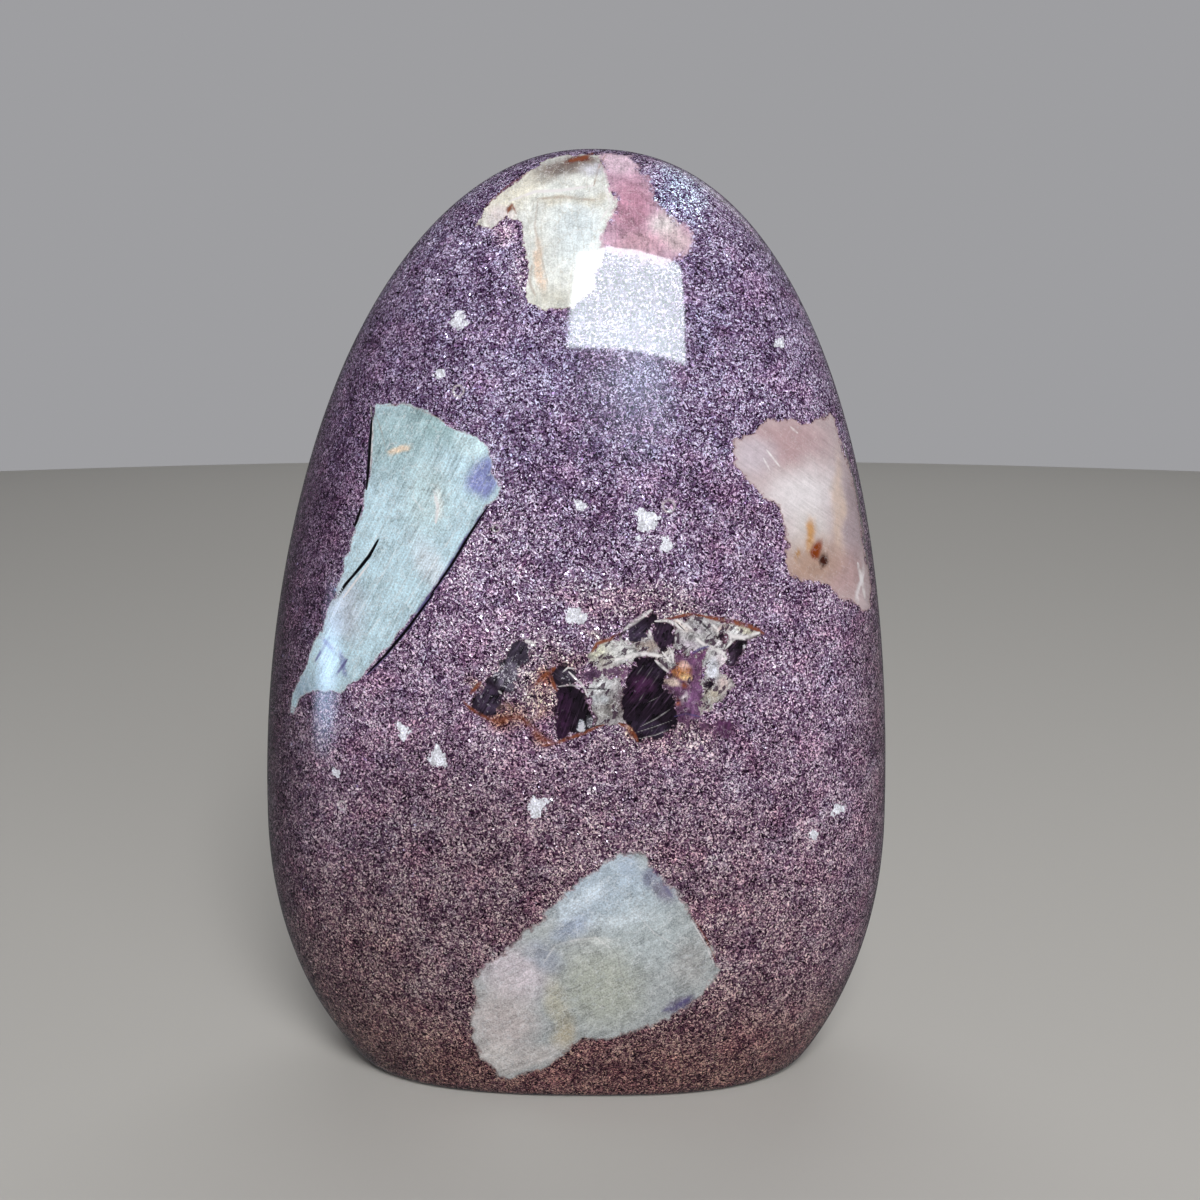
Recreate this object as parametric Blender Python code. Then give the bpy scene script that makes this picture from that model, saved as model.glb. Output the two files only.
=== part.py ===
"""Lepidolite freeform: one hand-ground, polished stone that stands on a small flat cut at its foot.

The stone is an egg whose four quarters differ a little: above and below its widest line, and left and
right of its upright axis. It is flattened from front to back, and its foot is cut flat with an eased edge.
Metres, +Z up, front towards -Y, origin at the middle of the flat foot's level.
"""

import bmesh
import bpy
from mathutils import Vector

# Driving sizes
HEIGHT = 0.140
LEFT_REACH = 0.0505
RIGHT_REACH = 0.0455
FRONT_REACH = 0.025
BACK_REACH = 0.025
BELLY_HEIGHT = 0.041
DEPTH_BELOW_BELLY = 0.056
LEAN_BACK = 0.003
FOOT_EASE = 0.0025

# Roundness of the outline: 2 is an ellipse, more is squarer
UPPER_LEFT_ROUNDNESS = 2.05
UPPER_RIGHT_ROUNDNESS = 2.24
LOWER_ROUNDNESS = 2.21
FRONT_PLAN_ROUNDNESS = 2.5
BACK_PLAN_ROUNDNESS = 2.3

# How far round the stone one quarter takes to pass into the next, as a share of the unit direction
SIDE_BLEND = 0.6
LEVEL_BLEND = 0.5

# The axis is set aside so that the box of the whole stone is centred on the origin
AXIS_OFFSET = (LEFT_REACH - RIGHT_REACH) / 2

# Mesh fineness: quads along each edge of the cube that the stone starts from
CUBE_SEGMENTS = 24
FLAT_TOLERANCE = 1e-6

STONE_COLOUR = (0.130, 0.085, 0.125, 1.0)
STONE_ROUGHNESS = 0.12


def clear_scene():
    """Remove whatever the scene holds, so that the stone is its only object."""
    for obj in list(bpy.data.objects):
        bpy.data.objects.remove(obj, do_unlink=True)


def blend(value, width):
    """Smooth step from 0 to 1 as value goes from -width to width."""
    share = min(max(0.5 + 0.5 * value / width, 0.0), 1.0)
    return share * share * (3.0 - 2.0 * share)


def mix(first, second, share):
    """Value between first and second."""
    return first + (second - first) * share


def ease_foot(z):
    """Height after the foot is cut flat at zero, with the cut's edge rounded over FOOT_EASE."""
    overlap = max(FOOT_EASE - abs(z), 0.0) / FOOT_EASE
    return max(z, 0.0) + overlap * overlap * FOOT_EASE / 4


def surface_point(direction):
    """Point of the stone's surface that lies in this unit direction from the middle of its belly."""
    dx, dy, dz = direction
    right_share = blend(dx, SIDE_BLEND)
    back_share = blend(dy, SIDE_BLEND)
    upper_roundness = mix(UPPER_LEFT_ROUNDNESS, UPPER_RIGHT_ROUNDNESS, right_share)
    roundness = mix(LOWER_ROUNDNESS, upper_roundness, blend(dz, LEVEL_BLEND))
    plan_roundness = mix(FRONT_PLAN_ROUNDNESS, BACK_PLAN_ROUNDNESS, back_share)
    plan = (abs(dx) ** plan_roundness + abs(dy) ** plan_roundness) ** (1 / plan_roundness)
    stretch = (plan**roundness + abs(dz) ** roundness) ** (-1 / roundness)
    vertical_reach = HEIGHT - BELLY_HEIGHT if dz > 0 else DEPTH_BELOW_BELLY
    rise = vertical_reach * dz * stretch
    return Vector(
        (
            AXIS_OFFSET + mix(LEFT_REACH, RIGHT_REACH, right_share) * dx * stretch,
            mix(FRONT_REACH, BACK_REACH, back_share) * dy * stretch + LEAN_BACK * rise / HEIGHT,
            ease_foot(BELLY_HEIGHT + rise),
        )
    )


def stone_mesh():
    """Closed mesh of the stone: a finely divided cube drawn out onto the surface, with a one-piece foot."""
    bm = bmesh.new()
    bmesh.ops.create_cube(bm, size=2.0)
    bmesh.ops.subdivide_edges(bm, edges=bm.edges[:], cuts=CUBE_SEGMENTS - 1, use_grid_fill=True)
    for vert in bm.verts:
        vert.co = surface_point(vert.co.normalized())
    foot = [face for face in bm.faces if all(vert.co.z < FLAT_TOLERANCE for vert in face.verts)]
    for face in foot:
        for vert in face.verts:
            vert.co.z = 0.0
    bmesh.ops.dissolve_faces(bm, faces=foot, use_verts=True)
    bmesh.ops.recalc_face_normals(bm, faces=bm.faces[:])
    mesh = bpy.data.meshes.new("lepidolite_freeform")
    bm.to_mesh(mesh)
    bm.free()
    mesh.shade_smooth()
    return mesh


def stone_material():
    """Polished purple mica stone."""
    material = bpy.data.materials.new("polished_lepidolite")
    material.use_nodes = True
    shader = material.node_tree.nodes["Principled BSDF"]
    shader.inputs["Base Color"].default_value = STONE_COLOUR
    shader.inputs["Roughness"].default_value = STONE_ROUGHNESS
    shader.inputs["Metallic"].default_value = 0.0
    return material


def build_stone():
    """The stone as one named object with its material."""
    stone = bpy.data.objects.new("lepidolite_freeform", stone_mesh())
    stone.data.materials.append(stone_material())
    bpy.context.scene.collection.objects.link(stone)


clear_scene()
build_stone()
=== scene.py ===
"""Looks of a polished lepidolite freeform: a hand-ground stone of purple mica that stands on a flat foot.

The stone is one closed mesh. Its form follows the same egg of four quarters as the frame's solid. The
bodies of mineral that the polished face cuts through are outlines in real sizes on the front or the back.
The mesh carries how far each of its points lies inside each mineral, and the material lays the finishes
over each other by those distances. Fissures and polishing pits are cut into the mesh.
Lengths are in metres unless a name says millimetres, +Z is up and the front looks towards -Y.
"""

import logging
import math
from collections.abc import Iterable
from dataclasses import dataclass
from enum import Enum
from typing import ClassVar, Protocol

import bmesh
import bpy
import numpy as np
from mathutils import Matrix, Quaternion, Vector, noise

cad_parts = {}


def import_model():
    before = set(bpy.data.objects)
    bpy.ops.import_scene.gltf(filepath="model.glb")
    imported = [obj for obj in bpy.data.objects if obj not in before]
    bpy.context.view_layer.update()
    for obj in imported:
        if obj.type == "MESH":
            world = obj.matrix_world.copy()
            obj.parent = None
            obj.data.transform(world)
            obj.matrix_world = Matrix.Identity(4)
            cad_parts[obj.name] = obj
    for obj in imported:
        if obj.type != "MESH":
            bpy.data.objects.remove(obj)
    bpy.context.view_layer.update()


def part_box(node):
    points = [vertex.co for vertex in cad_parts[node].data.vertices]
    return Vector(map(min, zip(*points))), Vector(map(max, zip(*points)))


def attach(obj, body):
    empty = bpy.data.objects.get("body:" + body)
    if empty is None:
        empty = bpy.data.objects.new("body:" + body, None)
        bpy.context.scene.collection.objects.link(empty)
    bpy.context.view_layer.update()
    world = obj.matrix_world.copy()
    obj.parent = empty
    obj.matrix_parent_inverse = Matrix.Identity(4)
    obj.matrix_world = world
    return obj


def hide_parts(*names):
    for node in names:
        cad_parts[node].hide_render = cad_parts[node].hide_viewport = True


LOG = logging.getLogger("lepidolite_freeform")

Colour = tuple[float, float, float, float]
Point = tuple[float, float]
Socket = bpy.types.NodeSocket

PIECE_NAME = "polished_stone"
NODE_NAME = "lepidolite_freeform"
BODY_NAME = "root"
MM = 0.001
ORIGIN = (0.0, 0.0, 0.0)


def placed(name: str, data: bpy.types.ID) -> bpy.types.Object:
    """New object in the scene, at the origin."""
    made = bpy.data.objects.new(name, data)
    bpy.context.scene.collection.objects.link(made)
    return made


def srgb(red: int, green: int, blue: int) -> Colour:
    """Turn a colour as seen on a screen into the linear values that a shader takes.

    Args:
        red, green, blue: the channels, 0 to 255.

    Returns:
        The linear colour with full alpha.
    """
    channels = [value / 255 for value in (red, green, blue)]
    linear = [v / 12.92 if v <= 0.04045 else ((v + 0.055) / 1.055) ** 2.4 for v in channels]
    return (linear[0], linear[1], linear[2], 1.0)


def mm(*points: Point) -> tuple[Point, ...]:
    """Turn points given in millimetres into metres."""
    return tuple((x * MM, z * MM) for x, z in points)


def between(first: float | np.ndarray, second: float | np.ndarray, share: np.ndarray) -> np.ndarray:
    """Value that lies a share of the way from the first to the second."""
    return first + (second - first) * share


def smooth(share: np.ndarray) -> np.ndarray:
    """Smooth step of a share that is first clipped to 0 and 1."""
    share = np.clip(share, 0.0, 1.0)
    return share * share * (3.0 - 2.0 * share)


class Side(Enum):
    """The face of the stone that an outline is drawn on, with the sign of Y there."""

    FRONT = -1
    BACK = 1


class Stain(Enum):
    """Colour of a seam, with the name of the mesh attribute that holds its strength."""

    RUST = "rust_seam"
    PALE = "pale_seam"
    DARK = "dark_seam"
    VIOLET = "violet_seam"
    INK = "ink_seam"
    OCHRE = "ochre_seam"


class Mineral(Enum):
    """What the polished surface shows, with the name of the mesh attribute that holds its depth."""

    CREAM = "cream_feldspar"
    ROSE = "rose_feldspar"
    CLAST = "pale_clast"
    QUARTZ = "milky_quartz"
    BLADE = "blue_blade"
    PLUM = "plum_mica"
    GREY_QUARTZ = "grey_quartz"
    PRISM = "dark_prism"
    FLECK = "white_fleck"


# Form of the stone


@dataclass(frozen=True)
class StoneForm:
    """Egg of four quarters, flattened from front to back, with its foot cut flat and eased.

    The roundness values are 2 for an ellipse and more for a squarer outline.
    """

    height: float = 0.140
    left_reach: float = 0.0505
    right_reach: float = 0.0455
    half_depth: float = 0.025
    belly_height: float = 0.041
    depth_below_belly: float = 0.056
    lean_back: float = 0.003
    foot_ease: float = 0.0025
    upper_left_roundness: float = 2.05
    upper_right_roundness: float = 2.24
    lower_roundness: float = 2.21
    front_plan_roundness: float = 2.5
    back_plan_roundness: float = 2.3
    side_blend: float = 0.6
    level_blend: float = 0.5
    ripple: float = 0.0022

    def rippled(self, directions: np.ndarray) -> np.ndarray:
        """Share by which the hand-ground surface swells or dips in each direction."""
        dx, dy, dz = directions.T
        waves = (
            np.sin(5.1 * dx + 2.3 * dz + 0.4)
            + np.sin(3.7 * dy - 4.9 * dz + 1.9)
            + np.sin(6.3 * dz + 3.1 * dx - 0.8)
        )
        return 1.0 + self.ripple * waves * (1.0 - dz**4)

    def eased(self, z: np.ndarray) -> np.ndarray:
        """Heights after the foot is cut flat at zero and its edge is eased."""
        overlap = np.clip(self.foot_ease - np.abs(z), 0.0, None) / self.foot_ease
        return np.maximum(z, 0.0) + overlap**2 * self.foot_ease / 4

    def points(self, directions: np.ndarray) -> np.ndarray:
        """Find where the surface lies in each direction from the middle of the belly.

        Args:
            directions: unit directions, one row each.

        Returns:
            The points in the row frame, one row each.
        """
        dx, dy, dz = directions.T
        right = smooth(0.5 + 0.5 * dx / self.side_blend)
        back = smooth(0.5 + 0.5 * dy / self.side_blend)
        upper = smooth(0.5 + 0.5 * dz / self.level_blend)
        crown = between(self.upper_left_roundness, self.upper_right_roundness, right)
        roundness = between(self.lower_roundness, crown, upper)
        plan_roundness = between(self.front_plan_roundness, self.back_plan_roundness, back)
        plan = (np.abs(dx) ** plan_roundness + np.abs(dy) ** plan_roundness) ** (1 / plan_roundness)
        stretch = (plan**roundness + np.abs(dz) ** roundness) ** (-1 / roundness)
        stretch = stretch * self.rippled(directions)
        rise = np.where(dz > 0, self.height - self.belly_height, self.depth_below_belly) * dz * stretch
        across = between(self.left_reach, self.right_reach, right)
        x = (self.left_reach - self.right_reach) / 2 + across * dx * stretch
        y = self.half_depth * dy * stretch + self.lean_back * rise / self.height
        return np.stack([x, y, self.eased(self.belly_height + rise)], axis=1)


# What the polished surface cuts through


def distance_to_route(points: np.ndarray, route: tuple[Point, ...]) -> np.ndarray:
    """Distance of each point of a face, as (x, z) rows, from an open line of points."""
    nearest = np.full(len(points), np.inf)
    for start, end in zip(route[:-1], route[1:]):
        a, span = np.array(start), np.array(end) - np.array(start)
        share = np.clip(((points - a) @ span) / max(float(span @ span), 1e-12), 0.0, 1.0)
        nearest = np.minimum(nearest, np.linalg.norm(points - a - share[:, None] * span, axis=1))
    return nearest


@dataclass(frozen=True)
class Line:
    """Thin line along a route on one face, full in its middle and tapered to its ends.

    Attributes:
        route: its points on the face as (x, z).
        width: half its width in the middle.
        side: the face that it runs on.
        end_width, swell: share of the width at its ends, and what the middle adds to that.
        elsewhere: the distance that is kept for points of the other face.
        furthest: the lowest value outside the line.
    """

    route: tuple[Point, ...]
    width: float
    side: Side = Side.FRONT
    end_width: ClassVar[float] = 0.3
    swell: ClassVar[float] = 0.7
    elsewhere: ClassVar[float] = 1.0
    furthest: ClassVar[float] = -3.0

    def distance(self, points: np.ndarray) -> np.ndarray:
        """Distance of each surface point from the middle of the line."""
        distance = distance_to_route(points[:, [0, 2]], self.route)
        return np.where(points[:, 1] * self.side.value > 0, distance, self.elsewhere)

    def inside(self, points: np.ndarray) -> np.ndarray:
        """How far inside the line each surface point lies: 1 in its middle, 0 at its edge, less outside."""
        first, last = np.array(self.route[0]), np.array(self.route[-1])
        span = last - first
        share = np.clip((points[:, [0, 2]] - first) @ span / float(span @ span), 0.0, 1.0)
        width = self.width * (self.end_width + self.swell * np.sqrt(np.sin(math.pi * share)))
        return np.maximum(1.0 - self.distance(points) / width, self.furthest)


def inside_outline(points: np.ndarray, outline: tuple[Point, ...]) -> np.ndarray:
    """Whether each point of a face, as (x, z) rows, lies inside a closed outline."""
    x, z = points.T
    inside = np.zeros(len(points), dtype=bool)
    for (x0, z0), (x1, z1) in zip(outline, outline[1:] + outline[:1]):
        crosses = (z0 > z) != (z1 > z)
        slope = (x1 - x0) / (z1 - z0) if z1 != z0 else 0.0
        inside ^= crosses & (x < x0 + slope * (z - z0))
    return inside


@dataclass(frozen=True)
class Patch:
    """One body of mineral, outlined where the polished surface cuts through it.

    Attributes:
        mineral: what it is made of.
        outline: its corners on the face as (x, z).
        side: the face that it shows on.
        depth_limit: the Y that it doesn't pass on its way through the stone.
        grain: lean of its cleavage lines from upright in degrees, positive with their top to the right.
    """

    mineral: Mineral
    outline: tuple[Point, ...]
    side: Side = Side.FRONT
    depth_limit: float = 0.0
    grain: float = 0.0

    def depth(self, points: np.ndarray) -> np.ndarray:
        """Distance of each surface point inside the body, negative outside it."""
        face = points[:, [0, 2]]
        edge = distance_to_route(face, self.outline + self.outline[:1])
        depth = np.where(inside_outline(face, self.outline), edge, -edge)
        return np.minimum(depth, (points[:, 1] - self.depth_limit) * self.side.value)


@dataclass(frozen=True)
class Fissure(Line):
    """Narrow open crack, cut into the mesh; the material paints it near black as painted shadow inside it.
    """

    deep: float = 0.4 * MM


@dataclass(frozen=True)
class Seam(Line):
    """Stained or healed line, such as a rim of rust where two bodies of mineral meet."""

    stain: Stain = Stain.PALE
    strength: float = 1.0


@dataclass(frozen=True)
class Pit:
    """Small round polishing pit with a raised rim, which the material paints pale as a highlight."""

    place: tuple[float, float, float]
    radius: float
    deep: float

    def distance(self, points: np.ndarray) -> np.ndarray:
        """Distance of each surface point from the pit's middle."""
        return np.linalg.norm(points - np.array(self.place), axis=1)


def blob(x: float, z: float, radius: float, corners: int = 7, turn: float = 0.4) -> tuple[Point, ...]:
    """Outline of a small rough grain.

    Args:
        x, z: its middle in millimetres.
        radius: its mean radius in millimetres.
        corners: how many corners it has.
        turn: the angle of its first corner, which also sets how uneven it is.

    Returns:
        The corners in metres.
    """
    ring = []
    for corner in range(corners):
        angle = turn + corner * math.tau / corners
        reach = radius * (1.0 + 0.22 * math.sin(3.0 * angle + 5.0 * turn))
        ring.append((x + reach * math.cos(angle), z + reach * math.sin(angle)))
    return mm(*ring)


def flecks(*outlines: tuple[Point, ...], side: Side = Side.FRONT) -> tuple[Patch, ...]:
    """White flecks with these outlines on one face."""
    return tuple(Patch(Mineral.FLECK, outline, side) for outline in outlines)


def seams(
    stain: Stain, *lines: tuple[float, float, tuple[Point, ...]], side: Side = Side.FRONT
) -> tuple[Seam, ...]:
    """Build seams of one colour on one face.

    Args:
        stain: their colour.
        lines: for each, half its width in millimetres, its strength and its route in millimetres.
        side: the face that they run on.

    Returns:
        The seams.
    """
    return tuple(Seam(mm(*route), width * MM, side, stain, strength) for width, strength, route in lines)


FRONT_PATCHES = (
    Patch(Mineral.CREAM, depth_limit=-0.0026, outline=mm(
        (-14, 128), (-12.5, 131), (-10, 133.5), (-6.5, 136), (-3, 138.6), (3.2, 139.6), (4, 137.5),
        (5, 134.5), (6, 131.5), (5.6, 129), (4, 127), (4.2, 124.5), (2.5, 119), (0, 116.6),
        (-2.8, 116.4), (-5.2, 116.6), (-7, 118.3), (-6.2, 121.4), (-7, 125.4), (-7.4, 128.6),
        (-9.4, 129.6), (-12, 127.6),
    )),
    Patch(Mineral.ROSE, depth_limit=-0.0026, outline=mm(
        (3.2, 139.6), (7.8, 139.2), (8.7, 136.5), (10.7, 134.2), (11.6, 131), (16.2, 127.6),
        (16.6, 124.6), (12.8, 122.6), (8, 123.6), (3.6, 125), (4, 127), (5.6, 129), (6, 131.5),
        (4.8, 134.5),
    )),
    Patch(Mineral.BLADE, depth_limit=-0.004, grain=27, outline=mm(
        (-28.4, 103.2), (-24, 103.6), (-19.6, 101.8), (-16.4, 99.8), (-13, 98.8), (-12, 97.6),
        (-11.7, 95.2), (-10.3, 92.4), (-10.6, 90.8), (-12.2, 89.2), (-14.2, 86.6), (-16.8, 82),
        (-20.2, 77.2), (-23.8, 72.9), (-26.6, 69.3), (-29.4, 66), (-31, 64.5), (-34, 62.6),
        (-38.4, 62.2), (-40.4, 60.6), (-42, 57.6), (-41.6, 60.8), (-39.8, 64.2), (-37.3, 69.3),
        (-34.5, 75.9), (-31.9, 83.4), (-30.1, 88.5), (-29.3, 91.6), (-28.6, 95.6), (-28.6, 99.8),
    )),
    Patch(Mineral.QUARTZ, depth_limit=-0.002, grain=-55, outline=mm(
        (22, 98.4), (25, 99.6), (27.5, 101.2), (30.2, 101.1), (32.9, 100.5), (35.6, 101.2),
        (37.3, 101.6), (38.2, 98.8), (38.9, 96.2), (40.6, 92), (41.4, 88.4), (42.2, 83.4), (43.4, 78),
        (43.4, 73.6), (42.2, 73.2), (38.5, 75.8), (35.6, 78), (33, 78.9), (30.8, 79.2), (29.8, 81.4),
        (29.9, 84.4), (29.2, 87.7), (28.6, 89.3), (25.8, 91.3), (24.2, 93.2), (22.6, 95),
    )),
    Patch(Mineral.CLAST, depth_limit=-0.006, grain=58, outline=mm(
        (6, 40.8), (8.7, 40.6), (10.4, 39.6), (10.9, 37.8), (14.2, 35.4), (16, 32.2), (17.5, 29),
        (19, 26.6), (20.9, 22.4), (18.8, 19.2), (16, 16.2), (12.9, 14.6), (8.3, 12.4), (4.6, 11.4),
        (1.1, 11.4), (-1.4, 9.2), (-4.4, 6.2), (-9.7, 3.8), (-11.5, 4.2), (-14, 8.2), (-15.5, 13.4),
        (-14.3, 16.8), (-14.7, 20.6), (-13.3, 23), (-9.8, 26), (-6.1, 29.5), (-1.8, 34.3), (1.2, 36.5),
        (3.4, 38.8),
    )),
    Patch(Mineral.PLUM, grain=15, outline=mm(
        (14, 69.6), (15.8, 69.2), (17.3, 69.9), (18.9, 70.1), (18.7, 69), (17.9, 68), (18, 66.6),
        (17.7, 65.4), (18.1, 64), (18, 62), (18, 60.2), (16, 59.6), (14, 60), (13.9, 61.6), (14.4, 63.2),
        (12.6, 64), (12.2, 65), (12.8, 66.2), (13.4, 67.6),
    )),
    Patch(Mineral.PLUM, grain=70, outline=mm(
        (0, 67.5), (1.6, 66.9), (3.4, 67.3), (6, 67.4), (7.2, 67.2), (6.8, 65.9), (4.4, 66.2),
        (2.4, 65.2), (1, 65.4),
    )),
    Patch(Mineral.PLUM, grain=40, outline=mm(
        (14, 72.4), (15.6, 72.6), (17.6, 73.2), (19.4, 71.8), (18.4, 70.6), (16.6, 71), (14.2, 70.9),
    )),
    Patch(Mineral.PLUM, blob(18.6, 59, 0.75, corners=6, turn=0.3), grain=-25),
    Patch(Mineral.PLUM, blob(21, 58.3, 1.3, corners=8, turn=0.9), grain=20),
    Patch(Mineral.GREY_QUARTZ, grain=60, outline=mm(
        (2.1, 69.2), (2.8, 70.3), (4, 70.8), (5.6, 71.1), (6.6, 71.6), (8.2, 71), (9.2, 71.3),
        (10.2, 71.9), (11.7, 71.5), (12, 70.1), (13, 70.4), (14, 70), (13.9, 68), (13.1, 66.4),
        (12.2, 67.4), (11.2, 68.6), (9.3, 68.9), (7.6, 68), (6.4, 67.3), (4.6, 67.2), (3.2, 67.3),
        (2.3, 68.1),
    )),
    Patch(Mineral.GREY_QUARTZ, grain=35, outline=mm(
        (1.7, 64.6), (3, 65.7), (4.4, 66.2), (6.1, 65.9), (7, 65.2), (7, 62), (7.7, 60.6), (7.8, 59.6),
        (6, 59.5), (4.1, 59.2), (2.8, 59.3), (2.3, 60.5), (1.9, 62.2),
    )),
    Patch(Mineral.GREY_QUARTZ, grain=40, outline=mm(
        (13.7, 74), (16.2, 74.3), (18.6, 74.2), (21, 73.5), (22.9, 73), (24.4, 72.5), (26.5, 71.6),
        (24.4, 70.9), (22.6, 70.9), (21.4, 69.6), (21.4, 68), (20.4, 67.3), (19.9, 66.2), (20.8, 66.2),
        (22, 65.2), (21.9, 64.2), (20.8, 63.2), (19.6, 62.3), (18.6, 61), (17.9, 60.6), (18, 63),
        (17.8, 65.4), (18.2, 67), (17.9, 68.4), (18.9, 70.1), (17.2, 69.8), (15.8, 69.2), (14, 69.8),
        (13.6, 72),
    )),
    Patch(Mineral.PRISM, grain=31, outline=mm(
        (-14.9, 61.7), (-13.8, 63.2), (-12.6, 64.9), (-11.4, 66.4), (-10.1, 67.8), (-9.3, 69.2),
        (-8, 71), (-7, 70.9), (-5.8, 69.5), (-6.2, 68.3), (-7.4, 67.8), (-8, 67), (-8, 65), (-9.6, 63.6),
        (-10.2, 62.2), (-10.9, 61), (-11.7, 60.3), (-12.8, 60.5), (-14.2, 61),
    )),
    Patch(Mineral.PRISM, grain=18, outline=mm(
        (-2.1, 64.9), (0.2, 64.6), (1.3, 63.7), (1.9, 62.2), (2.1, 61), (2.7, 60), (2.6, 59.1),
        (1.5, 58.1), (-0.2, 58.2), (-1.4, 57.3), (-2.5, 57.2), (-3.2, 58.5), (-2.8, 60), (-2.4, 62),
    )),
    Patch(Mineral.PRISM, grain=-60, outline=mm(
        (-3, 66), (-2.3, 67.3), (-1.5, 68), (-0.2, 67.5), (0.3, 66.6), (-0.2, 65.6), (-1.2, 65.1),
        (-2.1, 64.7),
    )),
    Patch(Mineral.PRISM, grain=50, outline=mm(
        (6.5, 72.2), (8, 73.3), (9, 74), (10.9, 75.4), (11.7, 74.5), (10.9, 73.6), (10.5, 72.2),
        (10.2, 71.7), (9, 71.1), (8.2, 70.9), (7.2, 71.5),
    )),
    Patch(Mineral.PRISM, grain=20, outline=mm(
        (10.9, 72), (11.3, 73.6), (12.4, 73.7), (13.6, 73.4), (13.9, 72.4), (14, 71), (13, 70),
        (12, 69.7), (11.4, 71.2),
    )),
    Patch(Mineral.PRISM, grain=38, outline=mm(
        (7.1, 65.4), (7.8, 67.2), (8.6, 68.3), (10.6, 68.9), (11.6, 68.4), (12.6, 67.1), (13.1, 66.4),
        (12.4, 65.2), (12, 64.3), (13.4, 63.4), (14.3, 62.6), (13.9, 61.2), (14.1, 59.8), (13.9, 58.5),
        (12.2, 57.6), (10.2, 57.1), (9, 56.7), (8.3, 57.8), (8, 58.9), (7.2, 60), (6.7, 62), (6.8, 64),
    )),
    Patch(Mineral.PRISM, grain=40, outline=mm(
        (21.2, 69.3), (22.4, 70.5), (23.9, 70.9), (24.5, 70.2), (24, 68.8), (22.9, 67.8), (22, 66.9),
        (21.2, 67.5), (22, 68.5),
    )),
    Patch(Mineral.PRISM, grain=40, outline=mm(
        (20, 71.2), (20.6, 72.3), (21.5, 71.9), (21.6, 70.9), (20.6, 70.2),
    )),
    Patch(Mineral.PRISM, grain=40, outline=mm(
        (18.1, 64.6), (19, 65), (19.9, 65.6), (19.4, 64.4), (18.6, 63.7),
    )),
    Patch(Mineral.PRISM, blob(-10.6, 86.4, 0.55, corners=5, turn=0.7), grain=20),
    *flecks(
        blob(-16.2, 114.8, 1.35, turn=0.7), blob(-18.7, 107.2, 0.75, turn=0.1),
        blob(9.9, 87.7, 1.55, corners=8, turn=0.3), blob(9.1, 85.2, 0.62, corners=6, turn=1),
        blob(12.6, 84.5, 0.95, corners=6, turn=2.1), blob(0.4, 74.6, 1.3, corners=6, turn=0.5),
        blob(0.8, 89.8, 0.7, turn=1.4), blob(29, 111.7, 0.8, turn=0.9),
        blob(-5.3, 47.6, 1.5, corners=8, turn=1.3), blob(-24.3, 57.6, 1.1, turn=0.2),
        blob(-19.4, 54.2, 1.5, corners=8, turn=0.8), blob(38.2, 44.8, 0.9, corners=5, turn=0.6),
        blob(34.2, 41.6, 0.8, corners=5, turn=1.6), blob(-34.6, 50.9, 0.6, turn=0.3),
    ),
)

BACK_PATCHES = (
    Patch(Mineral.CREAM, side=Side.BACK, outline=mm(
        (8, 139.4), (4.6, 136.6), (3.6, 133.4), (0.8, 130.6), (2.6, 126.6), (7.4, 124.4), (11.4, 125.6),
        (12.6, 128.8), (15.8, 131), (14.6, 135), (11.8, 137.6),
    )),
    Patch(Mineral.CLAST, side=Side.BACK, outline=mm(
        (-24.6, 91.5), (-20.4, 96.4), (-13.6, 98.8), (-8.6, 96), (-4.2, 91), (-5, 86.6), (-9.4, 83.6),
        (-10.4, 78.6), (-14.6, 74.2), (-20.4, 73.6), (-25.6, 78.2), (-25.2, 81.4), (-27.4, 85.6),
    )),
    Patch(Mineral.QUARTZ, side=Side.BACK, outline=mm(
        (16.4, 41.8), (19.2, 46.6), (24.8, 47.4), (28.6, 44.6), (32.8, 40.6), (32.6, 33.4), (29, 29.8),
        (25, 26.4), (20.6, 27.2), (17.6, 31.8), (15, 34.6), (15.6, 38.6),
    )),
    Patch(Mineral.BLADE, side=Side.BACK, grain=20, outline=mm(
        (14, 96), (16.6, 98.6), (19.2, 97.8), (21.4, 99), (24.2, 95.4), (23, 91.6), (21.6, 86.6),
        (18.6, 81), (14.6, 74.4), (10.6, 68.2), (7.2, 64.6), (5.6, 62.6), (6.6, 67.6), (8.4, 74.4),
        (10.6, 81.4), (12, 88.6), (12.6, 93),
    )),
    Patch(Mineral.PRISM, side=Side.BACK, outline=mm(
        (-14, 38), (-10.5, 39.5), (-7.5, 31), (-10, 28), (-13.5, 30),
    )),
    Patch(Mineral.PRISM, side=Side.BACK, outline=mm((-6, 41), (-3, 40), (-2, 35), (-5, 34), (-7, 37))),
    Patch(Mineral.GREY_QUARTZ, side=Side.BACK, outline=mm(
        (-9.5, 40.5), (-5.5, 43), (-2, 41), (-1, 36), (-3.5, 32), (-7, 30.5), (-9, 35),
    )),
    Patch(Mineral.PLUM, side=Side.BACK, outline=mm(
        (-16.5, 36), (-13.5, 37.5), (-13, 31), (-15.5, 28), (-18, 31.5),
    )),
    *flecks(
        blob(28, 70, 1.4, turn=0.3), blob(-30, 58, 1.1, turn=1.1), blob(4, 110, 1.5, turn=0.8),
        blob(-12, 118, 0.9, turn=0.1), blob(2, 22, 1.3, turn=2), blob(36, 60, 0.8, turn=0.5),
        blob(-22, 20, 1, turn=0.9),
        side=Side.BACK,
    ),
)

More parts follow.
